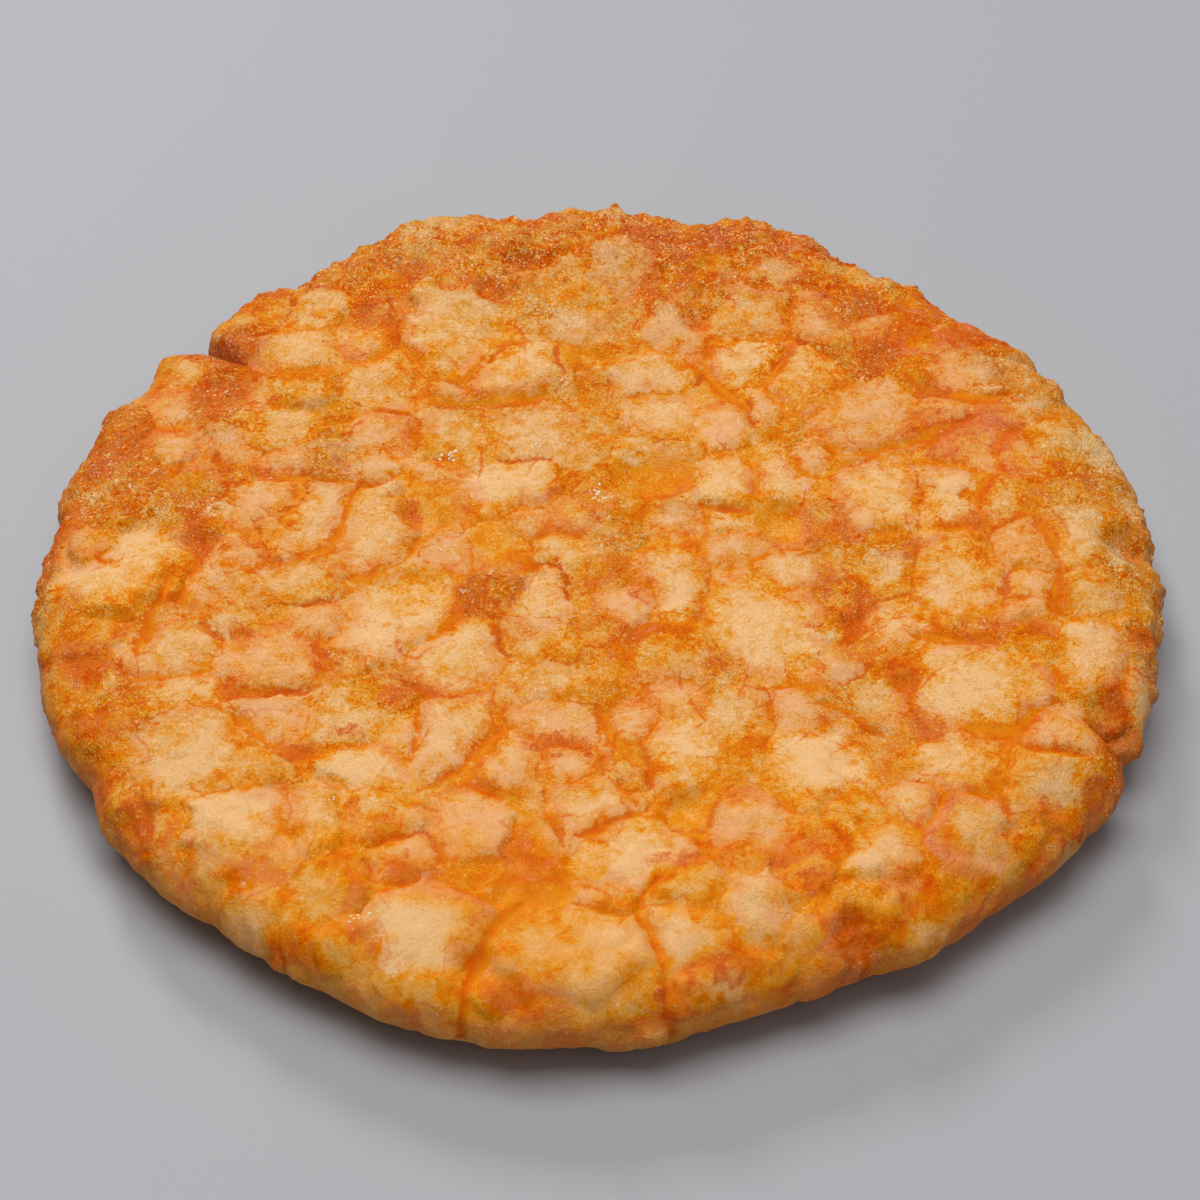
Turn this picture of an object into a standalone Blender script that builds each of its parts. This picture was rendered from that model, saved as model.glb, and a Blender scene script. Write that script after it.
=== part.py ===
# A round fried rice cracker lying flat: a puffy disc of blistered crust with an uneven, nicked edge.
# Metres, +Z up. The origin is on the surface that the cracker rests on, under the middle of its box.

import math
import random

import bmesh
import bpy

# Driving dimensions, in metres. A share is a fraction of the way from the middle to the edge.
EDGE_RADIUS = 0.0546        # mean radius of the outline
WAIST_HEIGHT = 0.0056       # height of the rim's widest line above the resting surface
CROWN_RISE = 0.0052         # top crust above the widest line
DISH_DEPTH = 0.0007         # how far the middle sinks below the puffed rim
DISH_SHARES = (0.40, 0.85)  # the sunken middle ends between these shares
SHOULDER_SHARE = 0.86       # the top turns down into the rim from here
CROWN_SQUARENESS = 12.0     # exponent of the top's rounded shoulder
SOLE_SQUARENESS = 7.0       # exponent of the underside's softer shoulder
RIM_FULLNESS = 2.6          # root of the shoulder curve: 2 is an ellipse, more is a fuller rim
RESTING_SHARE = 0.31        # the flat spot that carries the cracker
SOLE_FADE_SHARE = 0.50      # the underside's blisters reach full depth here

RINGS = 22                  # rings of each disc, about 2 mm apart
SIDES = 6                   # ring k holds SIDES * k points, so all triangles are alike
RIM_STEPS = 4               # steps round the rim, from shoulder to widest line

BLISTER_RISE = 0.0009       # middle of a blister above its foot
DOME_FALL = 0.6             # share of that rise lost from a blister's middle to its edge
CRACK_DEPTH = 0.0009        # furrow between two blisters
CRACK_SHARE = 0.28          # furrow half width, as a share of the blister radius
BLISTER_SPACING = 0.0062    # least distance between the centres of scattered blisters
BLISTER_CLEARANCE = 0.75    # or this share of their two radii, where that is more
BLISTER_RADII = (0.0034, 0.0046)
BLISTER_COUNT = 110
TRIES_PER_BLISTER = 60      # drops before the scattering gives up
SOLE_BLISTER_RISE = 0.0007  # depth of the hollows between the underside's blisters
FLAT_TOLERANCE = 1e-5       # points this near the resting surface lie on it
SEED = 7

# Swellings and nicks of the outline: direction in degrees, rise in metres, half width in degrees.
OUTLINE_FEATURES = (
    (30, 0.0006, 9.0),
    (46, -0.0008, 7.0),
    (71, 0.0014, 7.0),
    (90, 0.0018, 28.0),
    (110, 0.0016, 6.0),
    (131, 0.0014, 5.0),
    (139.5, -0.0044, 3.0),  # the one deep nick
    (150, 0.0006, 8.0),
    (170, -0.0012, 4.0),
    (200, -0.0002, 9.0),
    (222, 0.0004, 6.0),
    (256, 0.0019, 14.0),
    (292, -0.0014, 9.0),
    (318, -0.0012, 9.0),
    (337, -0.0012, 3.0),
    (355, -0.0006, 8.0),
)

# The largest blisters of the top crust: centre x, centre y, radius.
LARGE_BLISTERS = (
    (-0.015, 0.035, 0.0070), (-0.045, -0.001, 0.0062), (-0.020, -0.007, 0.0064),
    (-0.030, 0.009, 0.0056), (-0.021, -0.024, 0.0066), (-0.036, -0.031, 0.0066),
    (-0.007, 0.022, 0.0052), (-0.008, 0.013, 0.0045), (0.016, -0.008, 0.0068),
    (0.008, 0.000, 0.0048), (0.027, 0.010, 0.0056), (0.027, 0.022, 0.0060),
    (0.036, -0.015, 0.0060), (0.033, 0.000, 0.0055), (0.020, 0.028, 0.0055),
    (0.002, 0.046, 0.0050), (0.019, -0.026, 0.0058), (0.002, -0.038, 0.0054),
    (-0.003, -0.048, 0.0066), (-0.015, -0.046, 0.0058), (0.014, -0.045, 0.0060),
    (0.033, -0.026, 0.0055), (-0.030, 0.031, 0.0062), (0.036, 0.028, 0.0056),
)

# Torn pockets in the top crust: centre x, centre y, radius, depth.
POCKETS = (
    (-0.008, 0.045, 0.0040, 0.0012),
    (-0.037, 0.025, 0.0035, 0.0008),
    (0.048, -0.019, 0.0035, 0.0012),
    (0.005, 0.014, 0.0038, 0.0008),
)

CRUST_COLOUR = (0.735, 0.267, 0.058, 1.0)
CRUST_ROUGHNESS = 0.45
CRUST_METALLIC = 0.0


def clear_scene():
    for item in list(bpy.data.objects):
        bpy.data.objects.remove(item, do_unlink=True)


def smooth_step(low, high, value):
    share = min(1.0, max(0.0, (value - low) / (high - low)))
    return share * share * (3.0 - 2.0 * share)


def edge_radius(angle):
    """Outline radius in one direction: the mean radius plus a bell-shaped bump or nick for each feature."""
    radius = EDGE_RADIUS
    for direction, rise, half_width in OUTLINE_FEATURES:
        apart = (math.degrees(angle) - direction + 180.0) % 360.0 - 180.0
        radius += rise * math.exp(-((apart / half_width) ** 2))
    return radius


def scatter_blisters(spread, count, kept):
    """Blister centres and radii: those given, then seeded ones dropped wherever they are far enough apart."""
    draw = random.Random(SEED + spread)
    blisters = list(kept)
    tries = TRIES_PER_BLISTER * count
    while len(blisters) < count and tries:
        tries -= 1
        reach = EDGE_RADIUS * math.sqrt(draw.random())
        angle = draw.uniform(0.0, math.tau)
        x, y = reach * math.cos(angle), reach * math.sin(angle)
        radius = draw.uniform(*BLISTER_RADII)
        clear = all(
            math.hypot(x - other_x, y - other_y)
            > max(BLISTER_SPACING, BLISTER_CLEARANCE * (radius + other_radius))
            for other_x, other_y, other_radius in blisters
        )
        if clear:
            blisters.append((x, y, radius))
    return blisters


def blister_relief(x, y, blisters):
    """The dome about the nearest blister, 1 at its centre, and the crack, 1 where two blisters tie."""
    near, next_near = sorted(math.hypot(x - bx, y - by) / radius for bx, by, radius in blisters)[:2]
    dome = 1.0 - DOME_FALL * min(1.0, near) ** 2
    crack = math.exp(-(((next_near - near) / CRACK_SHARE) ** 2))
    return dome, crack


def pocket_depth(x, y):
    return sum(
        depth * math.exp(-((x - px) ** 2 + (y - py) ** 2) / radius**2) for px, py, radius, depth in POCKETS
    )


def crown_height(share, x, y, blisters):
    """Top surface: a superellipse shoulder over a shallow dish, with blisters that fade out down the rim."""
    shoulder = max(0.0, 1.0 - share**CROWN_SQUARENESS) ** (1.0 / RIM_FULLNESS)
    dish = DISH_DEPTH * (1.0 - smooth_step(*DISH_SHARES, share))
    dome, crack = blister_relief(x, y, blisters)
    relief = BLISTER_RISE * dome - CRACK_DEPTH * crack - pocket_depth(x, y) - dish
    return WAIST_HEIGHT + shoulder * (CROWN_RISE + relief)


def sole_height(share, x, y, blisters):
    """Underside: flat at the resting spot, then rising to the rim, its blisters pointing down."""
    shoulder = 1.0 - max(0.0, 1.0 - share**SOLE_SQUARENESS) ** (1.0 / RIM_FULLNESS)
    dome, crack = blister_relief(x, y, blisters)
    hollow = SOLE_BLISTER_RISE * (1.0 - dome + crack) * smooth_step(RESTING_SHARE, SOLE_FADE_SHARE, share)
    return WAIST_HEIGHT * shoulder + hollow * (1.0 - shoulder)


def ring_points(bm, share, count, height, blisters):
    """One ring of vertices at a share of the edge radius, with heights from the given surface."""
    points = []
    for step in range(count):
        angle = math.tau * step / count
        reach = share * edge_radius(angle)
        x, y = reach * math.cos(angle), reach * math.sin(angle)
        points.append(bm.verts.new((x, y, height(share, x, y, blisters))))
    return points


def disc_faces(bm, height, blisters):
    """A disc of near-equal triangles, from one middle point out to the shoulder; returns its outer ring."""
    inner = [bm.verts.new((0.0, 0.0, height(0.0, 0.0, 0.0, blisters)))]
    for ring in range(1, RINGS + 1):
        outer = ring_points(bm, SHOULDER_SHARE * ring / RINGS, SIDES * ring, height, blisters)
        for side in range(SIDES):
            for step in range(ring):
                here, there = side * ring + step, (side * ring + step + 1) % len(outer)
                below = (side * (ring - 1) + step) % len(inner)
                bm.faces.new((outer[here], outer[there], inner[below]))
                if step < ring - 1:
                    bm.faces.new((inner[below], outer[there], inner[(below + 1) % len(inner)]))
        inner = outer
    return inner


def rim_shares(squareness):
    """Shares of the rings between shoulder and edge, spaced evenly by angle round the rounded rim."""
    start = math.acos(SHOULDER_SHARE ** (squareness / 2.0))
    return [math.cos(start * (1.0 - step / RIM_STEPS)) ** (2.0 / squareness) for step in range(1, RIM_STEPS)]


def join_rings(bm, first, second):
    for step in range(len(first)):
        after = (step + 1) % len(first)
        bm.faces.new((first[step], first[after], second[after], second[step]))


def rim_faces(bm, shoulder, edge, squareness, height, blisters):
    """Bands of faces from a disc's outer ring, round the rim, to the shared edge ring."""
    ring = shoulder
    for share in rim_shares(squareness):
        following = ring_points(bm, share, len(edge), height, blisters)
        join_rings(bm, ring, following)
        ring = following
    join_rings(bm, ring, edge)


def flatten_resting_spot(bm):
    """The triangles of the resting spot become one flat face."""
    spot = [face for face in bm.faces if all(abs(vert.co.z) < FLAT_TOLERANCE for vert in face.verts)]
    for vert in {vert for face in spot for vert in face.verts}:
        vert.co.z = 0.0
    bmesh.ops.dissolve_faces(bm, faces=spot, use_verts=True)


def centre_on_box(bm):
    """The middle of the box comes over the origin."""
    for axis in (0, 1):
        places = [vert.co[axis] for vert in bm.verts]
        middle = (min(places) + max(places)) / 2.0
        for vert in bm.verts:
            vert.co[axis] -= middle


def crust_material():
    material = bpy.data.materials.new("fried_crust")
    material.use_nodes = True
    shader = material.node_tree.nodes["Principled BSDF"]
    shader.inputs["Base Color"].default_value = CRUST_COLOUR
    shader.inputs["Roughness"].default_value = CRUST_ROUGHNESS
    shader.inputs["Metallic"].default_value = CRUST_METALLIC
    return material


def build_cracker():
    top_blisters = scatter_blisters(0, BLISTER_COUNT, LARGE_BLISTERS)
    sole_blisters = scatter_blisters(1, BLISTER_COUNT, ())
    bm = bmesh.new()
    top = disc_faces(bm, crown_height, top_blisters)
    sole = disc_faces(bm, sole_height, sole_blisters)
    edge = ring_points(bm, 1.0, SIDES * RINGS, crown_height, top_blisters)
    rim_faces(bm, top, edge, CROWN_SQUARENESS, crown_height, top_blisters)
    rim_faces(bm, sole, edge, SOLE_SQUARENESS, sole_height, sole_blisters)
    flatten_resting_spot(bm)
    bmesh.ops.recalc_face_normals(bm, faces=bm.faces)
    centre_on_box(bm)
    mesh = bpy.data.meshes.new("cracker")
    bm.to_mesh(mesh)
    bm.free()
    mesh.shade_smooth()
    mesh.materials.append(crust_material())
    cracker = bpy.data.objects.new("cracker", mesh)
    bpy.context.scene.collection.objects.link(cracker)


def main():
    clear_scene()
    build_cracker()


main()
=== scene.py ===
# The looks of a round fried rice cracker: its blistered crust, crumb bubbles, oil beads and painted glints.
import math
import bpy
import numpy as np
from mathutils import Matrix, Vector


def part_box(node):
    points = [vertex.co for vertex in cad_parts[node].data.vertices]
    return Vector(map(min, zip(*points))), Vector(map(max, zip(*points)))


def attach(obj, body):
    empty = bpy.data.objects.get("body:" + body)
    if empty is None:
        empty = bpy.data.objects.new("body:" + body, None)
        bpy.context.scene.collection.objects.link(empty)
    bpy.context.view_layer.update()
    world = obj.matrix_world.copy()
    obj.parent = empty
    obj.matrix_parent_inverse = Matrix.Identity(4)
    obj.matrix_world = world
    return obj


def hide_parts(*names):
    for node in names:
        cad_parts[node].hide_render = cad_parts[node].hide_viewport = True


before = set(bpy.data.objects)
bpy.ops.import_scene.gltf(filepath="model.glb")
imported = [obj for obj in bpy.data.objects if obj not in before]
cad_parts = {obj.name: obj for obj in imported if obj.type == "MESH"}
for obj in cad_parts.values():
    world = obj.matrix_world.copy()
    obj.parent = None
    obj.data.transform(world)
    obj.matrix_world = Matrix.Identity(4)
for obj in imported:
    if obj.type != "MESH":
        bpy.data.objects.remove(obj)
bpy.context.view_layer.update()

mm = 0.001
portion = 4096   # points measured at a time
boxLow, boxHigh = (np.array(corner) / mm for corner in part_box("cracker"))


def smoothStep(low, high, value):
    # 0 below low, 1 above high, and 3t^2 - 2t^3 in between
    share = np.clip((value - low) / (high - low), 0.0, 1.0)
    return share * share * (3.0 - 2.0 * share)


def waveNoise(points, size, seed):
    # gradient noise from about -1 to 1: each corner of the lattice cell has a random arrow, and the arrows'
    # products with the way to the point are blended by 6t^5 - 15t^4 + 10t^3
    draw = np.random.default_rng(seed)
    arrows = draw.normal(size=(256, 3))
    arrows /= np.linalg.norm(arrows, axis=1)[:, None]
    shuffle = draw.permutation(256)
    place = points / size + draw.uniform(10.0, 90.0, 3)
    cell = np.floor(place).astype(np.int64)
    inside = place - cell
    blend = inside ** 3 * (inside * (6.0 * inside - 15.0) + 10.0)
    total = np.zeros(len(points))
    for corner in range(8):
        step = np.array([corner & 1, (corner >> 1) & 1, corner >> 2])
        at = (cell + step) & 255
        slot = shuffle[(at[:, 0] + shuffle[(at[:, 1] + shuffle[at[:, 2]]) & 255]) & 255]
        weight = np.prod(np.where(step == 1, blend, 1.0 - blend), axis=1)
        total += weight * np.einsum("ij,ij->i", arrows[slot], inside - step)
    return 1.6 * total


def layeredNoise(points, size, seed, layers=3, keep=0.5):
    # noise plus ever finer noise, each layer half as wide and keep times as strong
    total, strength, whole = np.zeros(len(points)), 1.0, 0.0
    for layer in range(layers):
        total += strength * waveNoise(points, size / 2 ** layer, seed + layer)
        whole += strength
        strength *= keep
    return total / whole


def spotField(points, spots):
    # the strongest of several soft elliptic spots: exp(-d^4), d being the distance in spot half sizes
    field = np.zeros(len(points))
    for x, y, length, width, turn, strength in spots:
        angle = math.radians(turn)
        dx, dy = points[:, 0] - x, points[:, 1] - y
        along = (dx * math.cos(angle) + dy * math.sin(angle)) / (0.5 * length)
        across = (dy * math.cos(angle) - dx * math.sin(angle)) / (0.5 * width)
        field = np.maximum(field, strength * np.exp(-(along ** 2 + across ** 2) ** 2))
    return field


def meshPiece(name, points, faces, material):
    # faces is a list of index arrays, one for each number of corners
    mesh = bpy.data.meshes.new(name)
    corners = np.concatenate([part.ravel() for part in faces])
    sizes = np.concatenate([np.full(len(part), part.shape[1]) for part in faces])
    starts = np.concatenate([[0], np.cumsum(sizes)[:-1]])
    mesh.vertices.add(len(points))
    mesh.vertices.foreach_set("co", (points * mm).astype(np.float32).ravel())
    mesh.loops.add(len(corners))
    mesh.loops.foreach_set("vertex_index", corners.astype(np.int32))
    mesh.polygons.add(len(sizes))
    mesh.polygons.foreach_set("loop_start", starts.astype(np.int32))
    mesh.update(calc_edges=True)
    mesh.validate()
    mesh.shade_smooth()
    mesh.materials.append(material)
    piece = bpy.data.objects.new(name, mesh)
    bpy.context.scene.collection.objects.link(piece)
    print(name, len(points), "points", int((sizes - 2).sum()), "triangles")
    return piece


def setAttribute(piece, name, values):
    layer = piece.data.attributes.new(name, "FLOAT", "POINT")
    layer.data.foreach_set("value", values.astype(np.float32))


crust = {
    "radius": 1.0027 * (boxHigh[0] - boxLow[0]) / 2,   # mean radius of the outline, from the frame
    "waist": 5.6,          # height of the rim's widest line
    "crown": 5.2,          # top above that line, without relief
    "topSquareness": 12.0,
    "soleSquareness": 7.0,
    "fullness": 2.6,       # root of the shoulder curve: 2 is an ellipse
    "dish": 0.7,           # the middle sinks by this
    "topSteps": 272,       # squares across the upper grid
    "soleSteps": 136,      # half as many below
    # swellings and nicks of the outline: direction, rise, half width in degrees
    "outline": [
        (43, -0.85, 9), (71, 1.8, 6), (76, 0.7, 4), (90, 1.8, 28), (88.6, 1.7, 1.2), (110.5, 3.2, 7),
        (131, 0.7, 5), (140.2, -7.2, 1.3), (143.7, 1.1, 2.0), (171, -1.0, 2.4), (180, -0.7, 4),
        (200, -0.2, 9), (208, -1.0, 3), (221, 0.7, 5), (232, -0.5, 5), (256, 1.9, 14), (270, 0.7, 10),
        (292, -1.0, 9), (316, -0.7, 8), (309, -0.5, 4), (329, 0.1, 5), (335.5, -2.2, 1.3), (345, -0.3, 5),
        (355, -0.8, 7),
    ],
    "patternShift": (0.0, -0.8),   # the plate pattern sits this far from the middle
}


def edgeOffset(angle):
    # a bell for each swelling or nick, summed
    degrees = np.degrees(angle)
    total = np.zeros(len(angle))
    for direction, rise, spread in crust["outline"]:
        apart = (degrees - direction + 180.0) % 360.0 - 180.0
        total += rise * np.exp(-(apart / spread) ** 2)
    return total


def sectionTable(squareness, height):
    # the quarter section share -> (1 - share^squareness)^(1/fullness), measured along its own length
    t = np.linspace(0.0, 1.0, 4001)
    share = 1.0 - (1.0 - t) ** 3
    level = np.maximum(0.0, 1.0 - share ** squareness) ** (1.0 / crust["fullness"])
    out, up = share * crust["radius"], level * height
    length = np.concatenate([[0.0], np.cumsum(np.hypot(np.diff(out), np.diff(up)))])
    slopeOut, slopeUp = np.gradient(out, length + 1e-9 * t), np.gradient(up, length + 1e-9 * t)
    return length / length[-1], share, level, slopeOut, slopeUp


def discGrid(steps):
    # a square grid bent into a disc: each square ring becomes a circle, its points evenly spaced
    side = np.linspace(-1.0, 1.0, steps + 1)
    u, v = np.meshgrid(side, side)
    reach = np.maximum(np.abs(u), np.abs(v))
    wide = np.abs(u) >= np.abs(v)
    safeU, safeV = np.where(u == 0, 1.0, u), np.where(v == 0, 1.0, v)
    angle = np.where(wide, math.pi / 4 * v / safeU + np.where(u < 0, math.pi, 0.0),
                     math.pi / 2 - math.pi / 4 * u / safeV + np.where(v < 0, math.pi, 0.0))
    index = np.arange((steps + 1) ** 2).reshape(steps + 1, steps + 1)
    quads = np.stack([index[:-1, :-1], index[:-1, 1:], index[1:, 1:], index[1:, :-1]], -1).reshape(-1, 4)
    border = np.concatenate([index[:-1, -1], index[-1, :0:-1], index[:0:-1, 0], index[0, :-1]])
    return reach.ravel(), angle.ravel(), quads, border


def crustSide(reach, angle, squareness, height, sign):
    # points and outward directions of the plain crust, before blisters; sign is 1 above and -1 below
    length, share, level, slopeOut, slopeUp = sectionTable(squareness, height)
    shares = np.interp(reach, length, share)
    levels = np.interp(reach, length, level)
    outward = np.stack([-np.interp(reach, length, slopeUp), np.interp(reach, length, slopeOut)], -1)
    outward /= np.linalg.norm(outward, axis=1)[:, None]
    distance = shares * crust["radius"] + shares ** 5 * edgeOffset(angle)
    z = crust["waist"] + sign * levels * height
    around = np.stack([np.cos(angle), np.sin(angle)], -1)
    points = np.concatenate([distance[:, None] * around, z[:, None]], 1)
    normals = np.concatenate([outward[:, :1] * around, sign * outward[:, 1:]], 1)
    return points, normals


def crustForm():
    # one bent grid for the top and a coarser one for the underside, sewn together round the widest line
    reach, angle, quads, border = discGrid(crust["topSteps"])
    top, topNormals = crustSide(reach, angle, crust["topSquareness"], crust["crown"], 1)
    soleReach, soleAngle, soleQuads, soleBorder = discGrid(crust["soleSteps"])
    lastRing = 1.0 - 2.0 / crust["soleSteps"]
    soleReach = soleReach * lastRing
    sole, soleNormals = crustSide(soleReach, soleAngle, crust["soleSquareness"], crust["waist"], -1)
    first = len(top)
    lower, lowerNext = soleBorder + first, np.roll(soleBorder, -1) + first
    upper, middle, upperNext = border[0::2], border[1::2], np.roll(border[0::2], -1)
    # each point of the lower border faces two steps of the upper one: a square and a triangle
    squares = np.stack([lower, lowerNext, upperNext, middle], -1)
    faces = [
        np.concatenate([quads, soleQuads[:, ::-1] + first, squares]),
        np.stack([lower, middle, upper], -1),
    ]
    return np.concatenate([top, sole]), np.concatenate([topNormals, soleNormals]), faces


# each kind of plate: how pale its skin is (0 tan, 1 cream), how pinkish, how crumbly, how oily, its rise
# in mm, how dissolved its edges are (0 crisp, 1 crumbled away), and what it adds to the half width of its
# cracks
plateKinds = {
    "cream": dict(pale=0.84, pink=0.0, crumb=0.0, oil=0.0, rise=0.22, soft=0.20, split=0.0),
    "pale": dict(pale=0.77, pink=0.15, crumb=0.05, oil=0.0, rise=0.18, soft=0.25, split=0.0),
    "pink": dict(pale=0.72, pink=0.75, crumb=0.05, oil=0.0, rise=0.18, soft=0.20, split=0.0),
    "golden": dict(pale=0.62, pink=0.0, crumb=0.30, oil=0.15, rise=0.14, soft=0.60, split=-0.1),
    "oily": dict(pale=0.35, pink=0.0, crumb=0.1, oil=0.9, rise=-0.10, soft=0.6, split=-0.2),
    "rough": dict(pale=0.40, pink=0.15, crumb=0.85, oil=0.1, rise=0.06, soft=1.0, split=-0.4),
    "amber": dict(pale=0.40, pink=0.0, crumb=0.5, oil=0.1, rise=0.0, soft=1.0, split=-0.5),
    "rim": dict(pale=0.60, pink=0.1, crumb=0.2, oil=0.0, rise=0.20, soft=0.7, split=-0.1),
}

# the plates of the top, by kind: middle x and y, length, width, and turn in degrees
plates = {
    "cream": [
        (-14.5, 35, 16, 9.5, 92), (-7.5, 12.5, 8, 6.5, 20), (-46, 0.5, 13, 11, 100),
        (-20, -7, 13, 11, 60), (27.5, 10.5, 10.5, 7.5, 90), (15.5, -7, 14, 9.5, 110),
        (36, -16, 11, 10, 0), (-15.5, -46, 11, 8, 10), (-22, -26.5, 8, 5.5, 160),
        (12.7, 12.5, 8, 5.5, 100), (2.5, -37.5, 10, 9, 60), (7.5, -25, 8.5, 7, 90),
        (19.5, -26, 10, 9, 100), (14.5, 29.5, 9, 6.5, 75), (-33, -33.5, 12, 8, 140),
        (-14, -11.5, 10, 9, 0),
    ],
    "pale": [
        (-30, 39, 9, 5.5, 80), (-31, 31.5, 9, 7, 60), (-24, 33.5, 6, 5, 90), (-21.5, 27.5, 8, 7, 60),
        (-9.5, 29.5, 10, 7.5, 50), (-3, 35, 4.5, 4, 0), (15.5, 37.5, 8, 6.5, 80),
        (21, 27.5, 9.5, 7.5, 60), (6, 23, 6.5, 6, 0), (4.5, 29, 8.5, 6, 10), (-28, 8, 9.5, 6, 85),
        (-22, 5.5, 12, 7, 80), (-4, 3, 5, 4, 45), (-5.8, -4.5, 10, 4.8, 80), (7.6, -1, 10, 5, 90),
        (12.5, 7, 5, 4, 0), (18, 13.5, 7, 4, 90), (34.5, -0.5, 11, 8.5, 60), (28.8, -7, 7, 6, 90),
        (-40.5, -11.5, 9, 7.5, 30), (-40, -16.5, 8.5, 4.5, 5), (-13.5, -22, 11, 7, 75),
        (-1, -31.5, 8, 6, 15), (-3, -48.5, 14, 10, 10), (8, -46, 8, 6.5, 110), (15, -44, 8.5, 7, 160),
        (33, -26.5, 8, 8, 0), (40.5, -27.5, 7.5, 6.5, 45), (25, -38.5, 7.5, 6, 100),
        (33.5, -33.5, 8, 7, 120), (46.5, -12.5, 8, 7, 90), (29, -31.3, 6.5, 4.5, 10), (35, 11, 9, 6, 95),
        (38.5, 9.5, 5, 4, 90), (46, 4.5, 9, 5.5, 90), (17.5, 0, 5, 4.5, 0),
    ],
    "pink": [
        (-43, 23.5, 7, 5, 100), (-15, 26.3, 4.5, 3, 0), (2, 45.5, 9, 5, 90), (17.8, 44.5, 5.5, 5, 0),
        (16.3, 23.5, 4.5, 3, 105), (12.3, 21.5, 9, 4.8, 65), (22.5, 36.5, 7, 5, 90),
        (27.5, 35.2, 5.5, 4, 20), (42, 23, 5.5, 5, 0), (27, 21.5, 10, 9, 40), (-43, 18, 5.5, 5, 0),
        (-36, 17.5, 6.5, 4.5, 100), (-31.5, 15, 5.5, 4, 0), (-32.6, 9.2, 7.5, 6, 80),
        (-34.7, 1.8, 4, 3.2, 30), (-37.8, -2.4, 5.5, 4, 80), (-23, 15, 5, 4.5, 0), (-22, 19.5, 6.5, 6, 0),
        (-26.5, -6.5, 7, 5.5, 110), (-31.7, -12.5, 9.5, 9, 30), (-31, -20.3, 7.5, 6.5, 70),
        (-8.5, -26, 8.5, 6, 80), (-12, -34, 9.5, 7, 85), (-17, -37.5, 6, 5, 20), (0.3, -43, 6.5, 4, 150),
        (7.3, -16.5, 5, 4.5, 0), (2.6, -20.5, 5.5, 4.5, 60), (-4.5, -19.8, 8, 6, 0),
        (-2.6, -26, 5.5, 3.5, 150), (21.5, 17.3, 4.5, 3, 70), (36.5, 17, 7, 5.5, 50),
        (41.8, 16.5, 5.5, 4, 120), (37, 29, 10, 6.5, 155), (41.5, 2.8, 7.5, 6.5, 0),
        (41.2, -2.5, 5, 4.5, 0), (39, -6, 4, 2.5, 60), (22.3, -14, 5.5, 4, 10), (19, -19, 6.5, 5.5, 30),
        (43, -21.5, 6.5, 5.5, 30), (2.2, -4.7, 5, 4.5, 0), (-14.5, 2.5, 5, 5, 0), (-7, 6.5, 5, 4, 60),
        (14, -33.5, 8, 6.5, 0), (8, 7, 4.5, 4, 0), (7.5, 34.5, 8.5, 4.8, 110), (33.5, 22.5, 6, 5, 40),
        (13, 3, 5, 4.5, 30), (-15.3, 14.2, 4.5, 4, 0),
    ],
    "golden": [
        (-31.5, 26, 9, 6, 10), (-37, 38.5, 9, 4.5, 50), (-42.5, 30, 6.5, 5, 120), (-6.5, 20.5, 8.5, 8, 0),
        (-14.5, 19.5, 8, 6.5, 90), (-32, 20.5, 9, 8.5, 0), (-40.3, 11.5, 6.5, 5.5, 0),
        (-49, 3.8, 6, 5, 60), (-28.6, -2, 8, 7, 0), (-35, -7.5, 6, 5.5, 0), (-37, -25, 13, 10, 120),
        (-24.3, -20.5, 9.5, 5.5, 90), (-20.5, -32.5, 8, 6.5, 0), (-26, -33, 8, 6, 90),
        (-5.5, -10, 8, 6, 0), (-6, -14.8, 8, 6.5, 160), (6.3, -11.8, 8.5, 7.5, 0), (13, -20, 8, 6, 90),
        (2.3, -26.3, 6.5, 4.5, 80), (12, 46, 7, 6, 0), (33, 33, 8, 5.5, 110), (46.3, 18.5, 9, 6, 100),
        (28, 0, 7.5, 5.5, 80), (47, -3.2, 6.5, 5, 90), (18, -45.5, 6, 5, 20), (23.5, -32.6, 5, 4.5, 0),
        (26, -17.5, 7, 5, 100), (8, -42.5, 8, 5, 10), (25.5, -43, 7, 5, 30), (-24.5, -41.5, 7, 6, 90),
        (3.2, 18, 6.5, 4.5, 100), (-2.5, 7.5, 6, 4.5, 90), (25.5, 45.5, 9, 5, 160),
    ],
    "oily": [
        (-17, 9, 7, 5.5, 10), (-10, 3.5, 7.5, 5.5, 80), (4.8, 14, 7, 5.5, 40), (17.8, 7, 6, 4.5, 80),
        (8.3, -32.3, 5.5, 4, 60), (-6, -42.7, 7, 4.5, 10), (-2, 31.5, 5, 3.5, 0),
    ],
    "rough": [
        (-38.5, 33, 6, 5.5, 0), (-38, 24.5, 6, 5.5, 0), (-47, 13.5, 8, 7, 90), (-27, 17, 6.5, 4.5, 90),
        (-8, 44, 7, 6, 0), (-12.5, 48, 5.5, 5, 0), (-28, 44.5, 6, 4, 0), (-19, 47, 6, 5, 0),
        (-10, -3, 6, 4.5, 90), (1.3, 5.8, 4, 3.5, 0), (10.5, 40.5, 5, 4.5, 90), (25.5, 31, 8, 6, 0),
        (26, 39, 5.5, 3.5, 50), (42.5, 28.5, 7, 6, 0),
    ],
}

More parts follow.
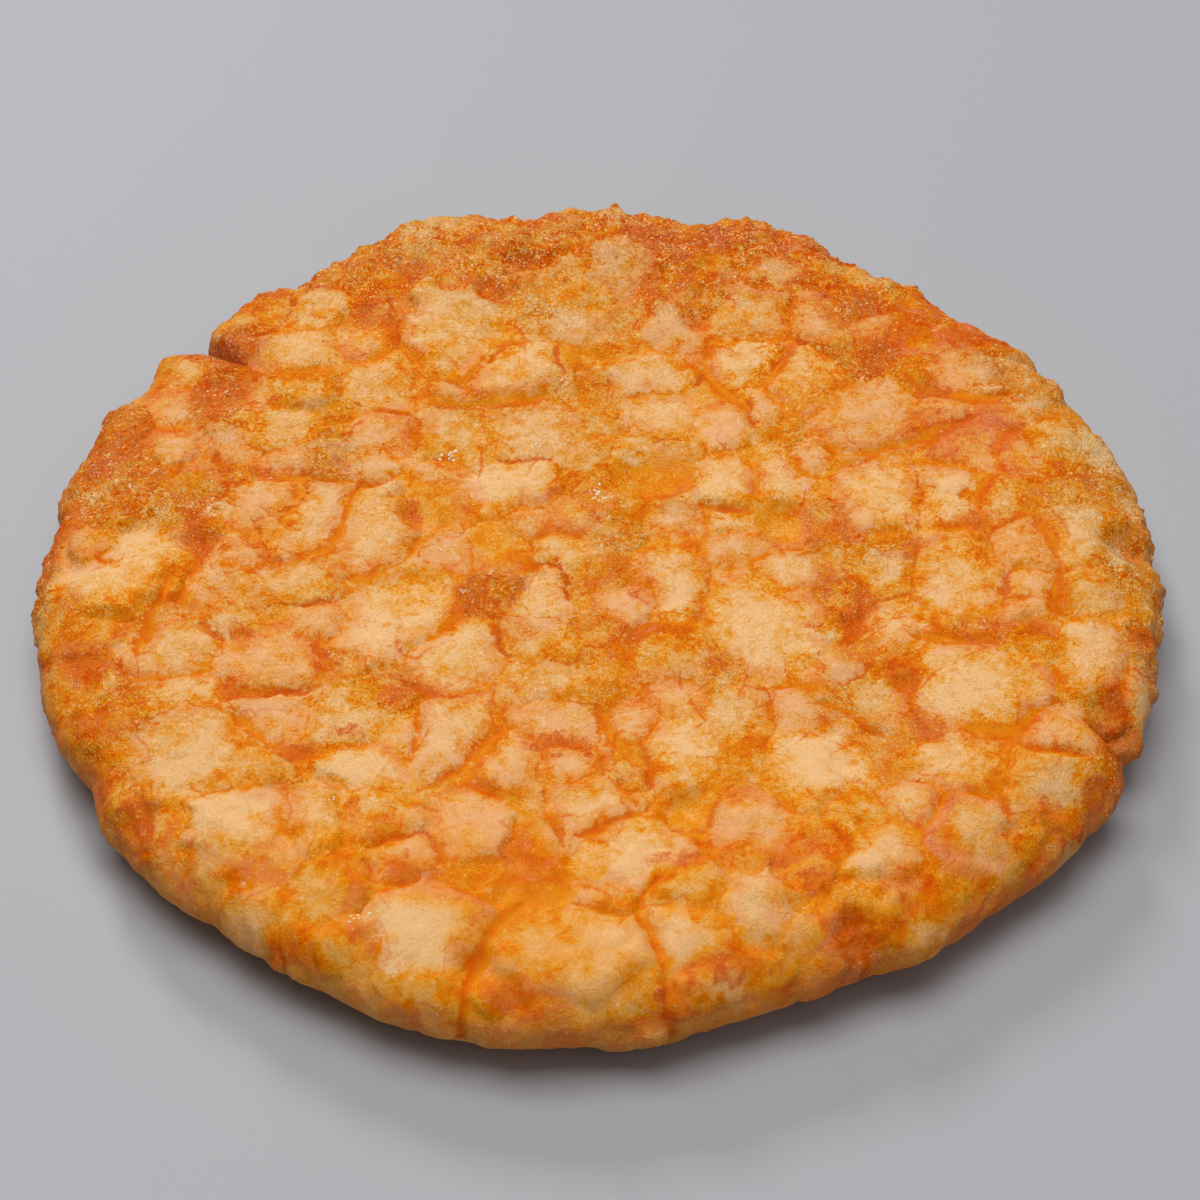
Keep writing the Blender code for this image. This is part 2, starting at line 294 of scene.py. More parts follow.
# single cracks: half width, redness (0 golden, 1 red-brown), then the places they run through
cracks = [
    (0.30, 0.9, [(-32, 41), (-31.5, 39), (-33.5, 35), (-35, 34)]),
    (0.40, 0.8, [(-22, 41), (-21, 36), (-20.5, 32)]),
    (0.35, 0.5, [(-13.5, 27), (-11, 31), (-9, 34)]),
    (0.30, 0.5, [(13, 34.5), (16, 33.6), (19, 33.5)]),
    (0.30, 0.6, [(19.3, 41), (19.8, 37), (19.5, 33)]),
    (0.20, 0.7, [(14, 43), (17, 41.2), (20, 40.5)]),
    (0.45, 0.3, [(10.5, 31), (11, 27), (15, 23.5)]),
    (0.40, 0.3, [(18.5, 31), (17, 28.5), (16, 26)]),
    (0.35, 0.9, [(-10, 43.5), (-9, 44.3), (-8, 44.5)]),
    (0.45, 0.9, [(-12, 41.5), (-11, 40.5), (-10, 39.5)]),
    (0.85, 0.2, [(-17.5, 24.5), (-12, 24), (-5, 25.5)]),
    (0.35, 0.4, [(-20, 32), (-17.5, 27), (-14, 28)]),
    (0.45, 1.0, [(28.5, 32.5), (28.2, 31), (27.5, 29.5)]),
    (0.80, 0.3, [(30, 29), (34, 25.5), (40, 24)]),
    (0.30, 0.6, [(-49, 2.4), (-48, 1.2), (-47, 1.2)]),
    (0.55, 0.5, [(-34, 14), (-30, 12.5), (-24, 13)]),
    (0.16, 0.9, [(-29, 12.5), (-29, 9), (-34, 6.5), (-32.5, 5), (-32, 2)]),
    (0.50, 0.0, [(-24, 12.5), (-24.5, 8), (-26, 4), (-30, 1), (-32, 1)]),
    (0.40, 1.0, [(-39, 5), (-38.5, 3), (-38, 1)]),
    (0.62, 0.0, [(-17.5, 5), (-19, 1), (-22, -0.5), (-25, -2)]),
    (0.25, 0.7, [(-24.5, 24), (-22, 22.5), (-19, 22.5)]),
    (0.60, 0.2, [(-41, 0), (-43, -8), (-44, -12)]),
    (0.45, 0.2, [(-39, 0), (-40, -5)]),
    (0.30, 0.9, [(-4, 2), (-3.5, -1), (-3.3, -4)]),
    (0.17, 0.9, [(31, 15), (31.5, 10), (31, 6)]),
    (0.60, 0.1, [(22.5, 19), (23.5, 17), (27, 17), (31, 18.5), (35, 20.5)]),
    (0.20, 0.6, [(30, -6), (34, -9)]),
    (0.40, 0.9, [(25.2, -2), (24.8, -5), (25.2, -9)]),
    (0.35, 1.0, [(-42, -29), (-41.5, -34)]),
    (0.35, 0.8, [(-35, -15), (-34, -17.5), (-31.5, -17.5), (-27, -16)]),
    (0.50, 0.1, [(-34, -19.5), (-31, -23.5), (-28, -26)]),
    (0.40, 0.2, [(-26.5, -9), (-26, -14)]),
    (0.40, 0.8, [(-19, -15), (-16, -17), (-13.5, -16.5)]),
    (0.25, 0.5, [(-17.5, -17), (-17.2, -21), (-17.5, -26)]),
    (0.30, 0.4, [(4, -32.5), (2.5, -30), (0.5, -28)]),
    (0.35, 0.5, [(3.5, -32.5), (1, -34), (-2, -35)]),
    (0.75, 0.3, [(-7.0, -43), (-9.5, -46.5), (-11, -50), (-12, -54), (-12.5, -60)]),
    (0.55, 0.4, [(3, -44.5), (5, -48), (6, -51), (6.5, -54), (7, -60)]),
    (0.25, 1.0, [(9, -53.6), (14, -52.6), (19, -51.2)]),
    (0.30, 0.8, [(24, -48), (28, -47.6), (31, -45.6)]),
    (0.25, 0.6, [(-28, -46), (-29.5, -49), (-31, -54)]),
    (0.55, 0.1, [(-9, -20.5), (-13, -27), (-17.5, -30)]),
    (0.45, 0.5, [(-5, -29), (-4.5, -33), (-3, -37)]),
    (0.65, 0.2, [(0, -17), (0.5, -22), (4, -27)]),
    (0.35, 0.4, [(-2, -41), (0, -42), (2.5, -44)]),
    (0.35, 0.5, [(5.5, -40), (3, -44)]),
    (0.35, 0.4, [(-15, -40), (-11, -42.5)]),
    (0.75, 0.0, [(34, -22), (38, -22.5), (41, -19)]),
    (0.60, 0.4, [(20.5, -17.5), (24, -20), (27, -22)]),
    (0.60, 0.8, [(22, -44), (23.5, -46.5), (24.5, -49.5), (26, -56)]),
    (0.60, 0.5, [(30, -9.5), (34, -10.3), (38, -10)]),
]

plateRules = {
    "seed": 11,
    "warp": (1.0, 4.5, 0.38, 1.7),    # wobble of the cracks: reach and size, coarse then fine
    "rounding": 0.8,                   # a plate's edge rounds over this far
    "tilt": 0.055,                     # a plate's slope
    "lift": 0.12,                      # a plate's own height
    "groove": 0.16,                    # depth of a crack
    "crackHalf": (0.05, 0.46),         # half width of the cracks between plates, least and most
    "slack": 1.6,                      # plates reach this far beyond their sizes where they have room
    "fillTop": (3.5, 6.0),             # size of the plates that fill gaps on the top
    "fillRim": (6.0, 10.0),
    "fillSole": (6.0, 11.0),
    "tries": 6000,                     # places tried for a filling plate
    "shading": 0.035,                  # how much paler a plate grows per mm, in a direction of its own
    "toneSpread": 0.10,                # how much paler or darker a plate is than its kind
}


def placeSeeds(base, normals):
    # the placed plates first, then seeded ones dropped on the crust wherever none is near
    draw = np.random.default_rng(plateRules["seed"])
    shift = np.array(crust["patternShift"])
    spots, axes, halves, ratios, kinds = [], [], [], [], []
    topHeight = crust["waist"] + crust["crown"] - 0.3
    for kind, rows in plates.items():
        for x, y, length, width, turn in rows:
            angle = math.radians(turn)
            # near the rim the crust falls away
            fall = 2.5 * max(0.0, math.hypot(x, y) / 54 - 0.86)
            spots.append((x + shift[0], y + shift[1], topHeight - fall))
            axes.append((math.cos(angle), math.sin(angle), 0.0))
            halves.append(0.5 * width)
            ratios.append(length / width)
            kinds.append(kind)
    for point in draw.permutation(len(base))[:plateRules["tries"]]:
        spot, out = base[point], normals[point]
        onTop, onSole = out[2] > 0.75, out[2] < -0.75
        low, high = plateRules["fillTop" if onTop else "fillSole" if onSole else "fillRim"]
        size = draw.uniform(low, high)
        apart = np.linalg.norm(np.array(spots) - spot, axis=1)
        if np.any(apart < 0.5 * size + 0.85 * np.array(halves) * np.sqrt(ratios)):
            continue
        ratio = draw.uniform(1.0, 1.6)
        side = np.cross(out, draw.normal(size=3))
        spots.append(tuple(spot))
        axes.append(tuple(side / np.linalg.norm(side)))
        halves.append(0.5 * size / math.sqrt(ratio))
        ratios.append(ratio)
        back = spot[1] > 38
        if onTop:
            kinds.append("amber")
        elif back:
            kinds.append(draw.choice(["rough", "golden", "rim"], p=[0.6, 0.2, 0.2]))
        else:
            rough = 0.25 if spot[1] > -20 else 0.05
            chances = [0.1, 0.08, 0.27, rough, 0.55 - rough]
            kinds.append(draw.choice(["pale", "pink", "golden", "rough", "rim"], p=chances))
    return np.array(spots), np.array(axes), np.array(halves), np.array(ratios), kinds


flakeRules = {
    "seed": 29,
    "apart": 3.3,              # least distance between the middles of two flakes
    "warp": (0.8, 2.4),        # wobble of their edges: reach and size
    "step": 0.08,              # a flake's own height
    "creaseShare": 0.45,       # share of the edges that show as a crease
    "creaseHalf": (0.03, 0.15),
    "creaseDepth": 0.07,
    "tries": 9000,             # places tried for a flake
}


def placeFlakes(base):
    # middles dropped on the crust, each at least the given distance from all earlier ones
    draw = np.random.default_rng(flakeRules["seed"])
    spots = np.empty((0, 3))
    for spot in base[draw.permutation(len(base))[:flakeRules["tries"]]]:
        if len(spots) == 0 or ((spots - spot) ** 2).sum(1).min() > flakeRules["apart"] ** 2:
            spots = np.append(spots, spot[None], axis=0)
    count = len(spots)
    axes = draw.normal(size=(count, 3))
    axes /= np.linalg.norm(axes, axis=1)[:, None]
    return spots, axes, np.ones(count), draw.uniform(1.0, 1.5, count), None


def plateField(points, seeds):
    # for each point: the nearest plate by elliptic distance q and the second; the way in from the plate's own
    # edge, (1 - q1) / |grad q1|; the distance to the crack between the two, (q2 - q1) / |grad(q2 - q1)|, and
    # the same with a sign that changes across the crack
    spots, axes, halves, ratios, _ = seeds
    pull = 1.0 - 1.0 / ratios ** 2
    parts = []
    for start in range(0, len(points), portion):
        part = points[start:start + portion]
        square = (part ** 2).sum(1)[:, None] + (spots ** 2).sum(1)[None] - 2.0 * part @ spots.T
        along = part @ axes.T - (spots * axes).sum(1)[None]
        q = np.sqrt(np.maximum(square - pull * along ** 2, 1e-6)) / halves
        two = np.argpartition(q, 1, axis=1)[:, :2]
        rows = np.arange(len(part))[:, None]
        two = np.take_along_axis(two, np.argsort(q[rows, two], axis=1), axis=1)
        qTwo = q[rows, two]
        slopes = []
        for column in range(2):
            i = two[:, column]
            way = part - spots[i]
            lean = (pull[i] * (way * axes[i]).sum(1))[:, None] * axes[i]
            slopes.append((way - lean) / (halves[i] ** 2 * qTwo[:, column])[:, None])
        inward = (1.0 - qTwo[:, 0]) / np.maximum(np.linalg.norm(slopes[0], axis=1), 0.05)
        steep = np.maximum(np.linalg.norm(slopes[1] - slopes[0], axis=1), 0.08)
        gap = (qTwo[:, 1] - qTwo[:, 0]) / steep
        side = np.where(two[:, 0] < two[:, 1], gap, -gap)
        parts.append((two[:, 0], two[:, 1], qTwo[:, 0], inward, gap, side))
    return tuple(np.concatenate(column) for column in zip(*parts))


def crackField(points, lines):
    # for each point, the signed distance to the nearest single crack, its half width there and its redness;
    # a crack is a smooth curve through its places and narrows to nothing at both ends
    starts, ends, widths, reds = [], [], [], []
    for half, red, places in lines:
        path = np.array(places, float)
        for _ in range(3):
            middle = np.empty((2 * len(path) - 2, 2))
            middle[0::2] = 0.75 * path[:-1] + 0.25 * path[1:]
            middle[1::2] = 0.25 * path[:-1] + 0.75 * path[1:]
            path = np.concatenate([path[:1], middle, path[-1:]])
        share = np.linspace(0, 1, len(path) - 1)
        starts.append(path[:-1])
        ends.append(path[1:])
        taper = np.sqrt(np.clip(1.0 - np.abs(2 * share - 1) ** 3, 0.0, 1.0))
        widths.append(half * (1.0 - 0.4 * red) * taper)
        reds.append(np.full(len(path) - 1, red))
    start, end = np.concatenate(starts), np.concatenate(ends)
    width, red = np.concatenate(widths), np.concatenate(reds)
    way = end - start
    reach = (way ** 2).sum(1)
    parts = []
    for first in range(0, len(points), portion):
        part = points[first:first + portion, :2]
        dx = part[:, 0, None] - start[None, :, 0]
        dy = part[:, 1, None] - start[None, :, 1]
        share = np.clip((dx * way[:, 0] + dy * way[:, 1]) / reach, 0.0, 1.0)
        offX, offY = dx - share * way[:, 0], dy - share * way[:, 1]
        square = offX ** 2 + offY ** 2
        near = square.argmin(axis=1)
        rows = np.arange(len(part))
        turn = way[near, 0] * dy[rows, near] - way[near, 1] * dx[rows, near]
        distance = np.sqrt(square[rows, near])
        parts.append((np.copysign(distance, turn), width[near], red[near]))
    return tuple(np.concatenate(column) for column in zip(*parts))


# red-brown soy stains: x, y, length, width, turn, strength
soyStains = [
    (-38, 25.5, 7, 5, 30, 1.0), (-37, 32.5, 6, 4, 0, 0.8), (-46.5, 18.5, 8, 4, 70, 0.9),
    (-43, 13.5, 5, 3, 20, 0.7), (-19.5, 44, 7, 4, 60, 0.8), (-11.5, 41.5, 7, 3, 130, 1.0),
    (-7.3, 47.3, 4, 2, 20, 1.1), (-20.8, 36, 5, 2.4, 100, 0.8), (-25, 36, 3.5, 3, 0, 0.7),
    (-24, 40, 4, 3, 60, 0.6), (9.8, 36.3, 3, 2.4, 0, 1.0), (7, 48, 3.5, 2.4, 90, 0.8),
    (8.5, 43, 5, 2.4, 60, 0.8), (19, 31.5, 3, 2, 60, 1.0), (27, 39.5, 6, 2.4, 60, 0.9),
    (24.5, 36.8, 4, 2, 10, 0.9), (28.3, 31.5, 6, 2, 75, 0.9), (31, 34.5, 5, 3, 50, 0.7),
    (36, 34.7, 4.5, 3, 20, 0.9), (34, 25.5, 6, 3, 150, 0.7), (32.7, 22, 4, 3, 0, 0.9),
    (35.5, 20, 5, 2, 10, 0.9), (41, 19.5, 4, 2.5, 60, 0.9), (39.5, 23.5, 4, 2.5, 90, 0.7),
    (47.5, 12.5, 4, 3, 0, 0.8), (36.5, 6.5, 4, 3, 0, 0.8), (42, 10, 5, 3, 30, 0.6),
    (52, 4.5, 6, 4, 90, 1.0), (43.5, 6, 4, 3, 0, 0.6), (29.5, 3, 5, 3, 20, 0.8),
    (23, 5.5, 4.5, 4, 0, 0.9), (20.7, 4.2, 4, 2, 20, 0.8), (22, -1.5, 4.5, 3, 100, 0.9),
    (24, -6.8, 4, 3, 90, 1.0), (25.4, -4, 5, 2, 100, 0.8), (44.8, -3.5, 4.5, 2, 90, 0.7),
    (28.5, -15, 6, 3.5, 110, 1.0), (49, -17.5, 6, 3.5, 120, 1.1), (47.5, -21, 5, 4, 40, 1.0),
    (41.5, -31.5, 6, 3.5, 140, 0.7), (36, -10, 5, 2, 0, 0.8), (-12.7, -4, 8, 3.6, 75, 0.9),
    (-8.3, -2.5, 6, 2, 95, 0.7), (2, 1.2, 3, 2.4, 0, 0.8), (3.4, -2.5, 5, 2, 120, 0.8),
    (3.4, -8.6, 3.6, 2.4, 40, 1.0), (-18.5, 8, 5.5, 2.6, 110, 0.9), (-39, 3.5, 6, 2.6, 100, 1.0),
    (-33.5, 14, 4, 2, 150, 0.8), (-37, 13, 5, 2, 110, 0.8), (-26.5, 15.5, 6, 4, 90, 0.6),
    (-32, 1.3, 4, 2, 110, 0.9), (-34, -10, 5, 2.4, 110, 0.8), (-26.5, -11, 5, 2.6, 100, 1.0),
    (-34, -17, 5, 2.6, 150, 0.8), (-28, -24.8, 4, 2.4, 0, 0.8), (-23.7, -22, 4, 2.6, 0, 0.6),
    (-16.2, -16.3, 5, 2.6, 165, 1.0), (-4.3, -23.5, 6.5, 3.4, 15, 1.0), (-12, -29, 5, 2.4, 10, 0.8),
    (-49, -12.5, 7, 4.5, 110, 1.0), (-46, -20, 5, 4, 20, 0.7), (-47, -27, 7, 4, 120, 0.9),
    (-42.3, -32, 7, 3, 100, 1.0), (-27, -46.5, 4, 4, 0, 0.9), (-24, -41.5, 4, 2, 80, 0.4),
    (-17.5, -39.5, 4, 3, 40, 0.7), (-8, -37.5, 5, 2, 90, 0.6), (7.3, -38.7, 6, 3, 0, 0.9),
    (18.5, -41, 5.5, 4, 20, 0.8), (20, -36.3, 4, 3, 40, 0.8), (16, -37.8, 5, 2.5, 10, 0.7),
    (11, -13, 3, 2, 0, 1.1), (22.5, -46, 4, 3, 100, 1.0), (11.5, -50, 9, 4, 10, 0.7),
    (27.5, -40.5, 5, 3, 90, 0.7), (6.5, -53, 7, 3, 20, 1.0), (46, -27.3, 4, 2.5, 40, 0.7),
]

# crumbly, porous places: x, y, length, width, turn, strength
crumbSpots = [
    (-48, 13, 16, 10, 100, 1.0), (-41, 9, 11, 7, 20, 1.0), (-39, 22, 9, 6, 100, 0.8),
    (-26.5, 16.5, 9, 6, 100, 0.8), (-38, 33, 10, 8, 0, 1.0), (-28, 45, 16, 7, 150, 1.0),
    (-19, 48, 16, 12, 170, 1.0), (-8, 50, 18, 9, 0, 1.0), (2, 53, 12, 8, 0, 1.0), (8, 50, 12, 8, 0, 1.0),
    (17, 51, 12, 9, 160, 1.0), (-5, 38, 9, 7, 0, 0.8), (-2, 28, 10, 6, 20, 0.7), (7, 41, 9, 6, 90, 0.8),
    (22, 44, 7, 5, 90, 0.7), (42, 29, 16, 9, 130, 0.9), (48, 16, 14, 9, 100, 1.0),
    (51, 3, 12, 7, 95, 1.0), (46, 10, 9, 7, 90, 0.8), (26, 3, 9, 5, 0, 0.7), (-10, -3, 8, 6, 90, 0.7),
    (2, 8, 7, 6, 60, 0.6), (7.5, 9.5, 6, 4, 0, 0.7), (24, -16, 12, 7, 60, 0.6), (13, -27, 5, 5, 0, 0.7),
    (-45, -18, 12, 7, 110, 0.6), (26, 39, 9, 7, 60, 0.6), (17, -45, 12, 6, 20, 0.7),
    (26, -41, 12, 7, 40, 0.8),
]

# wide places fried darker than the rest, and wide paler ones: x, y, length, width, turn, strength
brownedPlaces = [
    (10, 49, 22, 9, 0, 1.5), (30, 36, 20, 12, 145, 1.6), (37, -22, 24, 18, 20, 0.8),
    (-51, 10, 14, 12, 90, 1.2), (36, -38, 16, 10, 40, 0.6), (-42, 31, 10, 10, 0, 0.6),
    (-45, -3, 8, 8, 0, 0.5), (20, -12, 10, 10, 0, 0.4), (35, 19, 12, 9, 30, 2.0),
    (15, 30, 26, 9, 175, 1.5), (24, -25, 9, 13, 20, 0.6), (-5, -48, 7, 6, 0, 0.9),
]
palePlaces = [
    (-16, 50, 14, 8, 0, 1.2), (-4, 40, 14, 12, 0, 1.5), (45, 33, 12, 8, 130, 1.6),
    (50, 8, 26, 10, 95, 2.0), (-27, -24, 30, 14, 0, 0.8), (-27, -50, 18, 9, 150, 2.6),
    (4, -54, 12, 8, 0, 1.6), (-22, 10, 14, 12, 0, 1.3), (10, 22, 20, 14, 0, 0.8),
    (0, -27, 16, 10, 0, 0.4), (45, 27, 10, 8, 130, 1.2), (46, -2, 17, 9, 95, 1.3),
    (-6, 18, 11, 9, 20, 0.9), (-14, -29, 10, 8, 30, 1.1), (6, -47, 9, 7, 0, 1.4), (26, -1, 9, 7, 60, 0.6),
    (-24, 0, 9, 8, 0, 0.7),
]

# dry, whitish crumb: x, y, length, width, turn, strength
frostSpots = [
    (49.5, 18.5, 9, 4, 112, 1.0), (52, 11, 6, 3, 100, 0.8), (50.5, 3, 5, 2.5, 90, 0.8),
    (43.5, 29, 5, 2.5, 125, 0.7), (-50.5, 10.5, 5, 3, 80, 0.6), (-44.5, 11, 4, 2, 150, 0.5),
    (-38, 8, 5, 3, 20, 0.7), (-41.5, 35, 5, 3, 130, 0.8), (-33, 45, 5, 3, 150, 0.6),
    (1.5, 55, 3, 5, 0, 0.8), (24, 49, 5, 2.5, 165, 0.6), (-2, 29, 5, 2.5, 20, 0.5),
]

# torn hollows: x, y, radius, depth
hollows = [
    (-7.6, 46.0, 2.6, 1.5), (-11.0, 42.0, 2.0, 0.9), (-37.5, 26.0, 3.0, 0.8), (48.3, -19.0, 2.6, 1.4),
    (4.8, 14.0, 3.2, 0.7), (-24.5, 36.5, 2.2, 0.7), (9.8, 36.5, 1.6, 0.8), (24.4, -7.0, 1.5, 0.7),
    (28.8, -15.4, 1.3, 0.8), (-39.0, 3.5, 1.8, 0.7), (22.8, -46.0, 1.8, 0.9), (51.5, 4.5, 2.2, 1.0),
    (-42.0, -32.0, 1.8, 0.8), (-10.8, -50.5, 1.8, 0.9), (8.3, -32.3, 2.2, 0.6), (17.8, 7.0, 2.4, 0.6),
    (-18.4, 7.6, 1.4, 0.5), (33.5, 25.8, 2.4, 0.5),
]


# rough layers of the crust, in mm
roughness = {
    "swell": ((0.38, 22.0), (0.22, 9.0)),      # wide waves everywhere: height and size of each
    "crumbRise": (0.32, 0.16),                 # heights of rough crumb and of the pebbles in it
    "crumbSize": (1.9, 1.1),                   # and their sizes
    "ground": (0.05, 0.07),                    # the same roughness everywhere, and more of it at the front
    "knobSize": 3.4,
    # lumps and grain: height and size; knobs: height
    "backLumps": (0.9, 5.5), "backKnobs": 1.2,
    "frontLumps": (0.32, 3.6), "frontKnobs": 0.35,
    "rimLumps": (0.45, 4.0), "rimKnobs": 0.6, "rimGrain": (0.10, 1.5),
    "teeth": (0.65, 0.30), "teethSize": 2.6,   # the broken edge: rise both ways, and outwards only
    "plateRise": (1.3, 0.6),                   # factor on the plates' own rise, and more of it at the front
    "tops": 11.25,                             # beyond this height every rise counts for half
    "foot": 0.12,                              # below this height the underside flattens out
    "tuck": 0.75,                              # the underside is drawn in by this
}


def bendAround(base, reach, size, seed, fineReach=0.0, fineSize=1.0):
    # each point is moved by noise along each axis, coarse and then fine
    bent = base.copy()
    for axis in range(3):
        bent[:, axis] += reach * layeredNoise(base, size, seed + 3 * axis, 2)
        if fineReach:
            bent[:, axis] += fineReach * layeredNoise(base, fineSize, seed + 20 + 3 * axis, 2)
    return bent


def crackNotch(distance, width, spread):
    # 1 along the middle of a crack, falling to 0 at its width plus the spread: 1 - d^2
    shape = np.clip(1.0 - (distance / (np.maximum(width, 0) + spread)) ** 2, 0, 1)
    return shape * smoothStep(-0.1, 0.3, width)


def crustRelief(base, normals, seeds):
    # adds plates, cracks, rough crumb and torn hollows to the plain crust, as a height along its outward
    # direction, and gives the values that the crust's material reads
    reach, size, fineReach, fineSize = plateRules["warp"]
    bent = bendAround(base, reach, size, 20, fineReach, fineSize)
    nearest, second, q1, inward, gap, side = plateField(bent, seeds)
    print("plates measured")
    kindOf = seeds[4]
    draw = np.random.default_rng(plateRules["seed"] + 1)

    def waves(size, seed, layers=3, keep=0.5):
        return layeredNoise(base, size, seed, layers, keep)

    def perPlate(name):
        return np.array([plateKinds[kind][name] for kind in kindOf])[nearest]

    count = len(kindOf)
    lift = (plateRules["lift"] * draw.uniform(-1, 1, count))[nearest]
    slope = (plateRules["tilt"] * draw.normal(size=(count, 3)))[nearest]
    brightWay = (draw.normal(size=(count, 3)) * plateRules["shading"])[nearest]
    tone = (plateRules["toneSpread"] * draw.uniform(-1, 1, count))[nearest]
    pairs = (np.minimum(nearest, second) * 71 + np.maximum(nearest, second) * 131) % 4096
    pairLuck = draw.uniform(size=4096)[pairs]
    way = bent - seeds[0][nearest]

    # the same crust split again into small flakes
    curled = bendAround(base, *flakeRules["warp"], 150)
    flakes = placeFlakes(base)
    print(len(flakes[0]), "flakes")
    flake, nextFlake, _, _, flakeGap, flakeSide = plateField(curled, flakes)
    flakeLuck = draw.uniform(-1, 1, size=(len(flakes[0]), 3))[flake]
    pairs = (np.minimum(flake, nextFlake) * 53 + np.maximum(flake, nextFlake) * 97) % 4096
    creaseLuck = draw.uniform(size=4096)[pairs] + 0.5 * waves(4.0, 160, 2)
    thin, thick = flakeRules["creaseHalf"]
    often = flakeRules["creaseShare"]
    creaseWidth = np.interp(creaseLuck, [0.0, often, often + 0.1], [thick, thin, -0.5])

    pattern = base.copy()
    pattern[:, :2] -= np.array(crust["patternShift"])
    patternBent = pattern + 0.7 * (bent - base) + 0.45 * (curled - base)
    x, y, up = base[:, 0], base[:, 1], normals[:, 2]
    down = np.clip(-up, 0, 1)
    onTop = smoothStep(0.0, 0.35, up)
    rimness = 1.0 - smoothStep(0.15, 0.6, np.abs(up))
    backness = smoothStep(30, 48, y) * smoothStep(-0.6, 0.2, up)
    frontness = smoothStep(-14.0, -36.0, y) * smoothStep(-0.6, 0.2, up)

    cut, cutWidth, cutRed = crackField(patternBent, cracks)
    print("cracks measured")
    wander = waves(5.0, 60, 3)
    cut = np.where(up > -0.55, cut, 9.0)
    cutWidth = cutWidth * (1.0 + 0.8 * wander + 0.5 * waves(1.8, 62, 2))
    cutWidth = np.clip(cutWidth - 0.05, -0.3, 2.0)
    cutEdge = np.abs(cut) - cutWidth

    least, most = plateRules["crackHalf"]
    splits = np.array([plateKinds[kind]["split"] for kind in kindOf])
    width = least + (most - least) * pairLuck ** 2 + 0.35 * wander - 0.02 + splits[nearest] + splits[second]
    width = np.where(q1 > 1.25, width - 1.5 * (q1 - 1.25), width)
    width = np.clip(width, -0.6, 1.0)

    mottled = waves(7.0, 70, 3)
    crumb = np.maximum(perPlate("crumb"), spotField(pattern, crumbSpots) * onTop)
    crumb = np.maximum(crumb, 0.85 * backness)
    crumb = np.clip(crumb + 0.6 * mottled * (0.3 + rimness), 0, 1) * (1.0 - 0.4 * smoothStep(-15.0, -45.0, y))
    soft = perPlate("soft") + 0.9 * waves(6.0, 75, 2) + 0.5 * np.maximum(crumb - 0.4, 0)

    # way in from a plate's edge: the smooth least of the way from its own outline and from its cracks
    own, split = inward + plateRules["slack"], np.minimum(gap - width, cutEdge + 0.1)
    blend = 0.35
    plate = -blend * np.logaddexp(-own / blend, -split / blend)

    shelf = 1.0 - np.exp(-np.clip(plate, 0, None) / plateRules["rounding"])
    rise = perPlate("rise") * (1.0 + 0.5 * np.clip(1.0 - q1, 0, 1)) + lift + (slope * way).sum(1)
    everywhere, atFront = roughness["plateRise"]
    relief = shelf * rise * (everywhere + atFront * frontness)
    notch = np.maximum(crackNotch(gap, width, 0.25), 1.2 * crackNotch(cut, cutWidth, 0.25))
    relief -= plateRules["groove"] * notch * (1.0 + 0.6 * frontness)

    for seed, (high, wide) in zip((80, 85), roughness["swell"]):
        relief += high * waves(wide, seed, 2)
    crumbSize, pebbleSize = roughness["crumbSize"]
    crumbHigh, pebbleHigh = roughness["crumbRise"]
    everywhere, atFront = roughness["ground"]
    rough = waves(crumbSize, 90, 3, 0.65)
    pebbles = 1.0 - 2.0 * np.abs(waveNoise(base, pebbleSize, 95))
    relief += crumb * (crumbHigh * rough + pebbleHigh * pebbles) + (everywhere + atFront * frontness) * rough
    knobs = np.abs(waves(roughness["knobSize"], 105, 3, 0.6))

    def lumps(name, seed, layers=3, keep=0.6):
        high, wide = roughness[name]
        return high * waves(wide, seed, layers, keep)

    relief += backness * (lumps("backLumps", 100) + roughness["backKnobs"] * knobs - 0.15)
    relief += frontness * (lumps("frontLumps", 180) + roughness["frontKnobs"] * knobs)
    relief += rimness * (lumps("rimLumps", 110) + roughness["rimKnobs"] * crumb * knobs)
    # the broken edge: full teeth at the sides and the back, small ones at the front
    edgeHere = (1.0 - smoothStep(0.6, 0.93, np.abs(up))) * (0.3 + 0.7 * smoothStep(-32.0, -5.0, y))
    teeth = waves(roughness["teethSize"], 170, 3, 0.75)
    bothWays, outwards = roughness["teeth"]
    relief += edgeHere * (bothWays * teeth + outwards * np.abs(teeth)) * (0.6 + 0.6 * crumb)
    relief += rimness * lumps("rimGrain", 175, 2, 0.7)

    steps = flakeRules["step"] * (1.0 + 2.0 * backness + crumb)
    relief += steps * flakeLuck[:, 2] * smoothStep(0.0, 0.5, flakeGap)
    creaseShape = np.clip(1.0 - (flakeGap / 0.35) ** 2, 0, 1) * smoothStep(-0.2, 0.1, creaseWidth)
    relief -= flakeRules["creaseDepth"] * creaseShape * smoothStep(-35.0, 0.0, y)

    torn = np.zeros(len(base))
    for hollowX, hollowY, radius, depth in hollows:
        away = np.hypot(pattern[:, 0] - hollowX, pattern[:, 1] - hollowY) / radius
        torn = np.maximum(torn, depth * np.exp(-away ** 4))
    relief -= torn * onTop

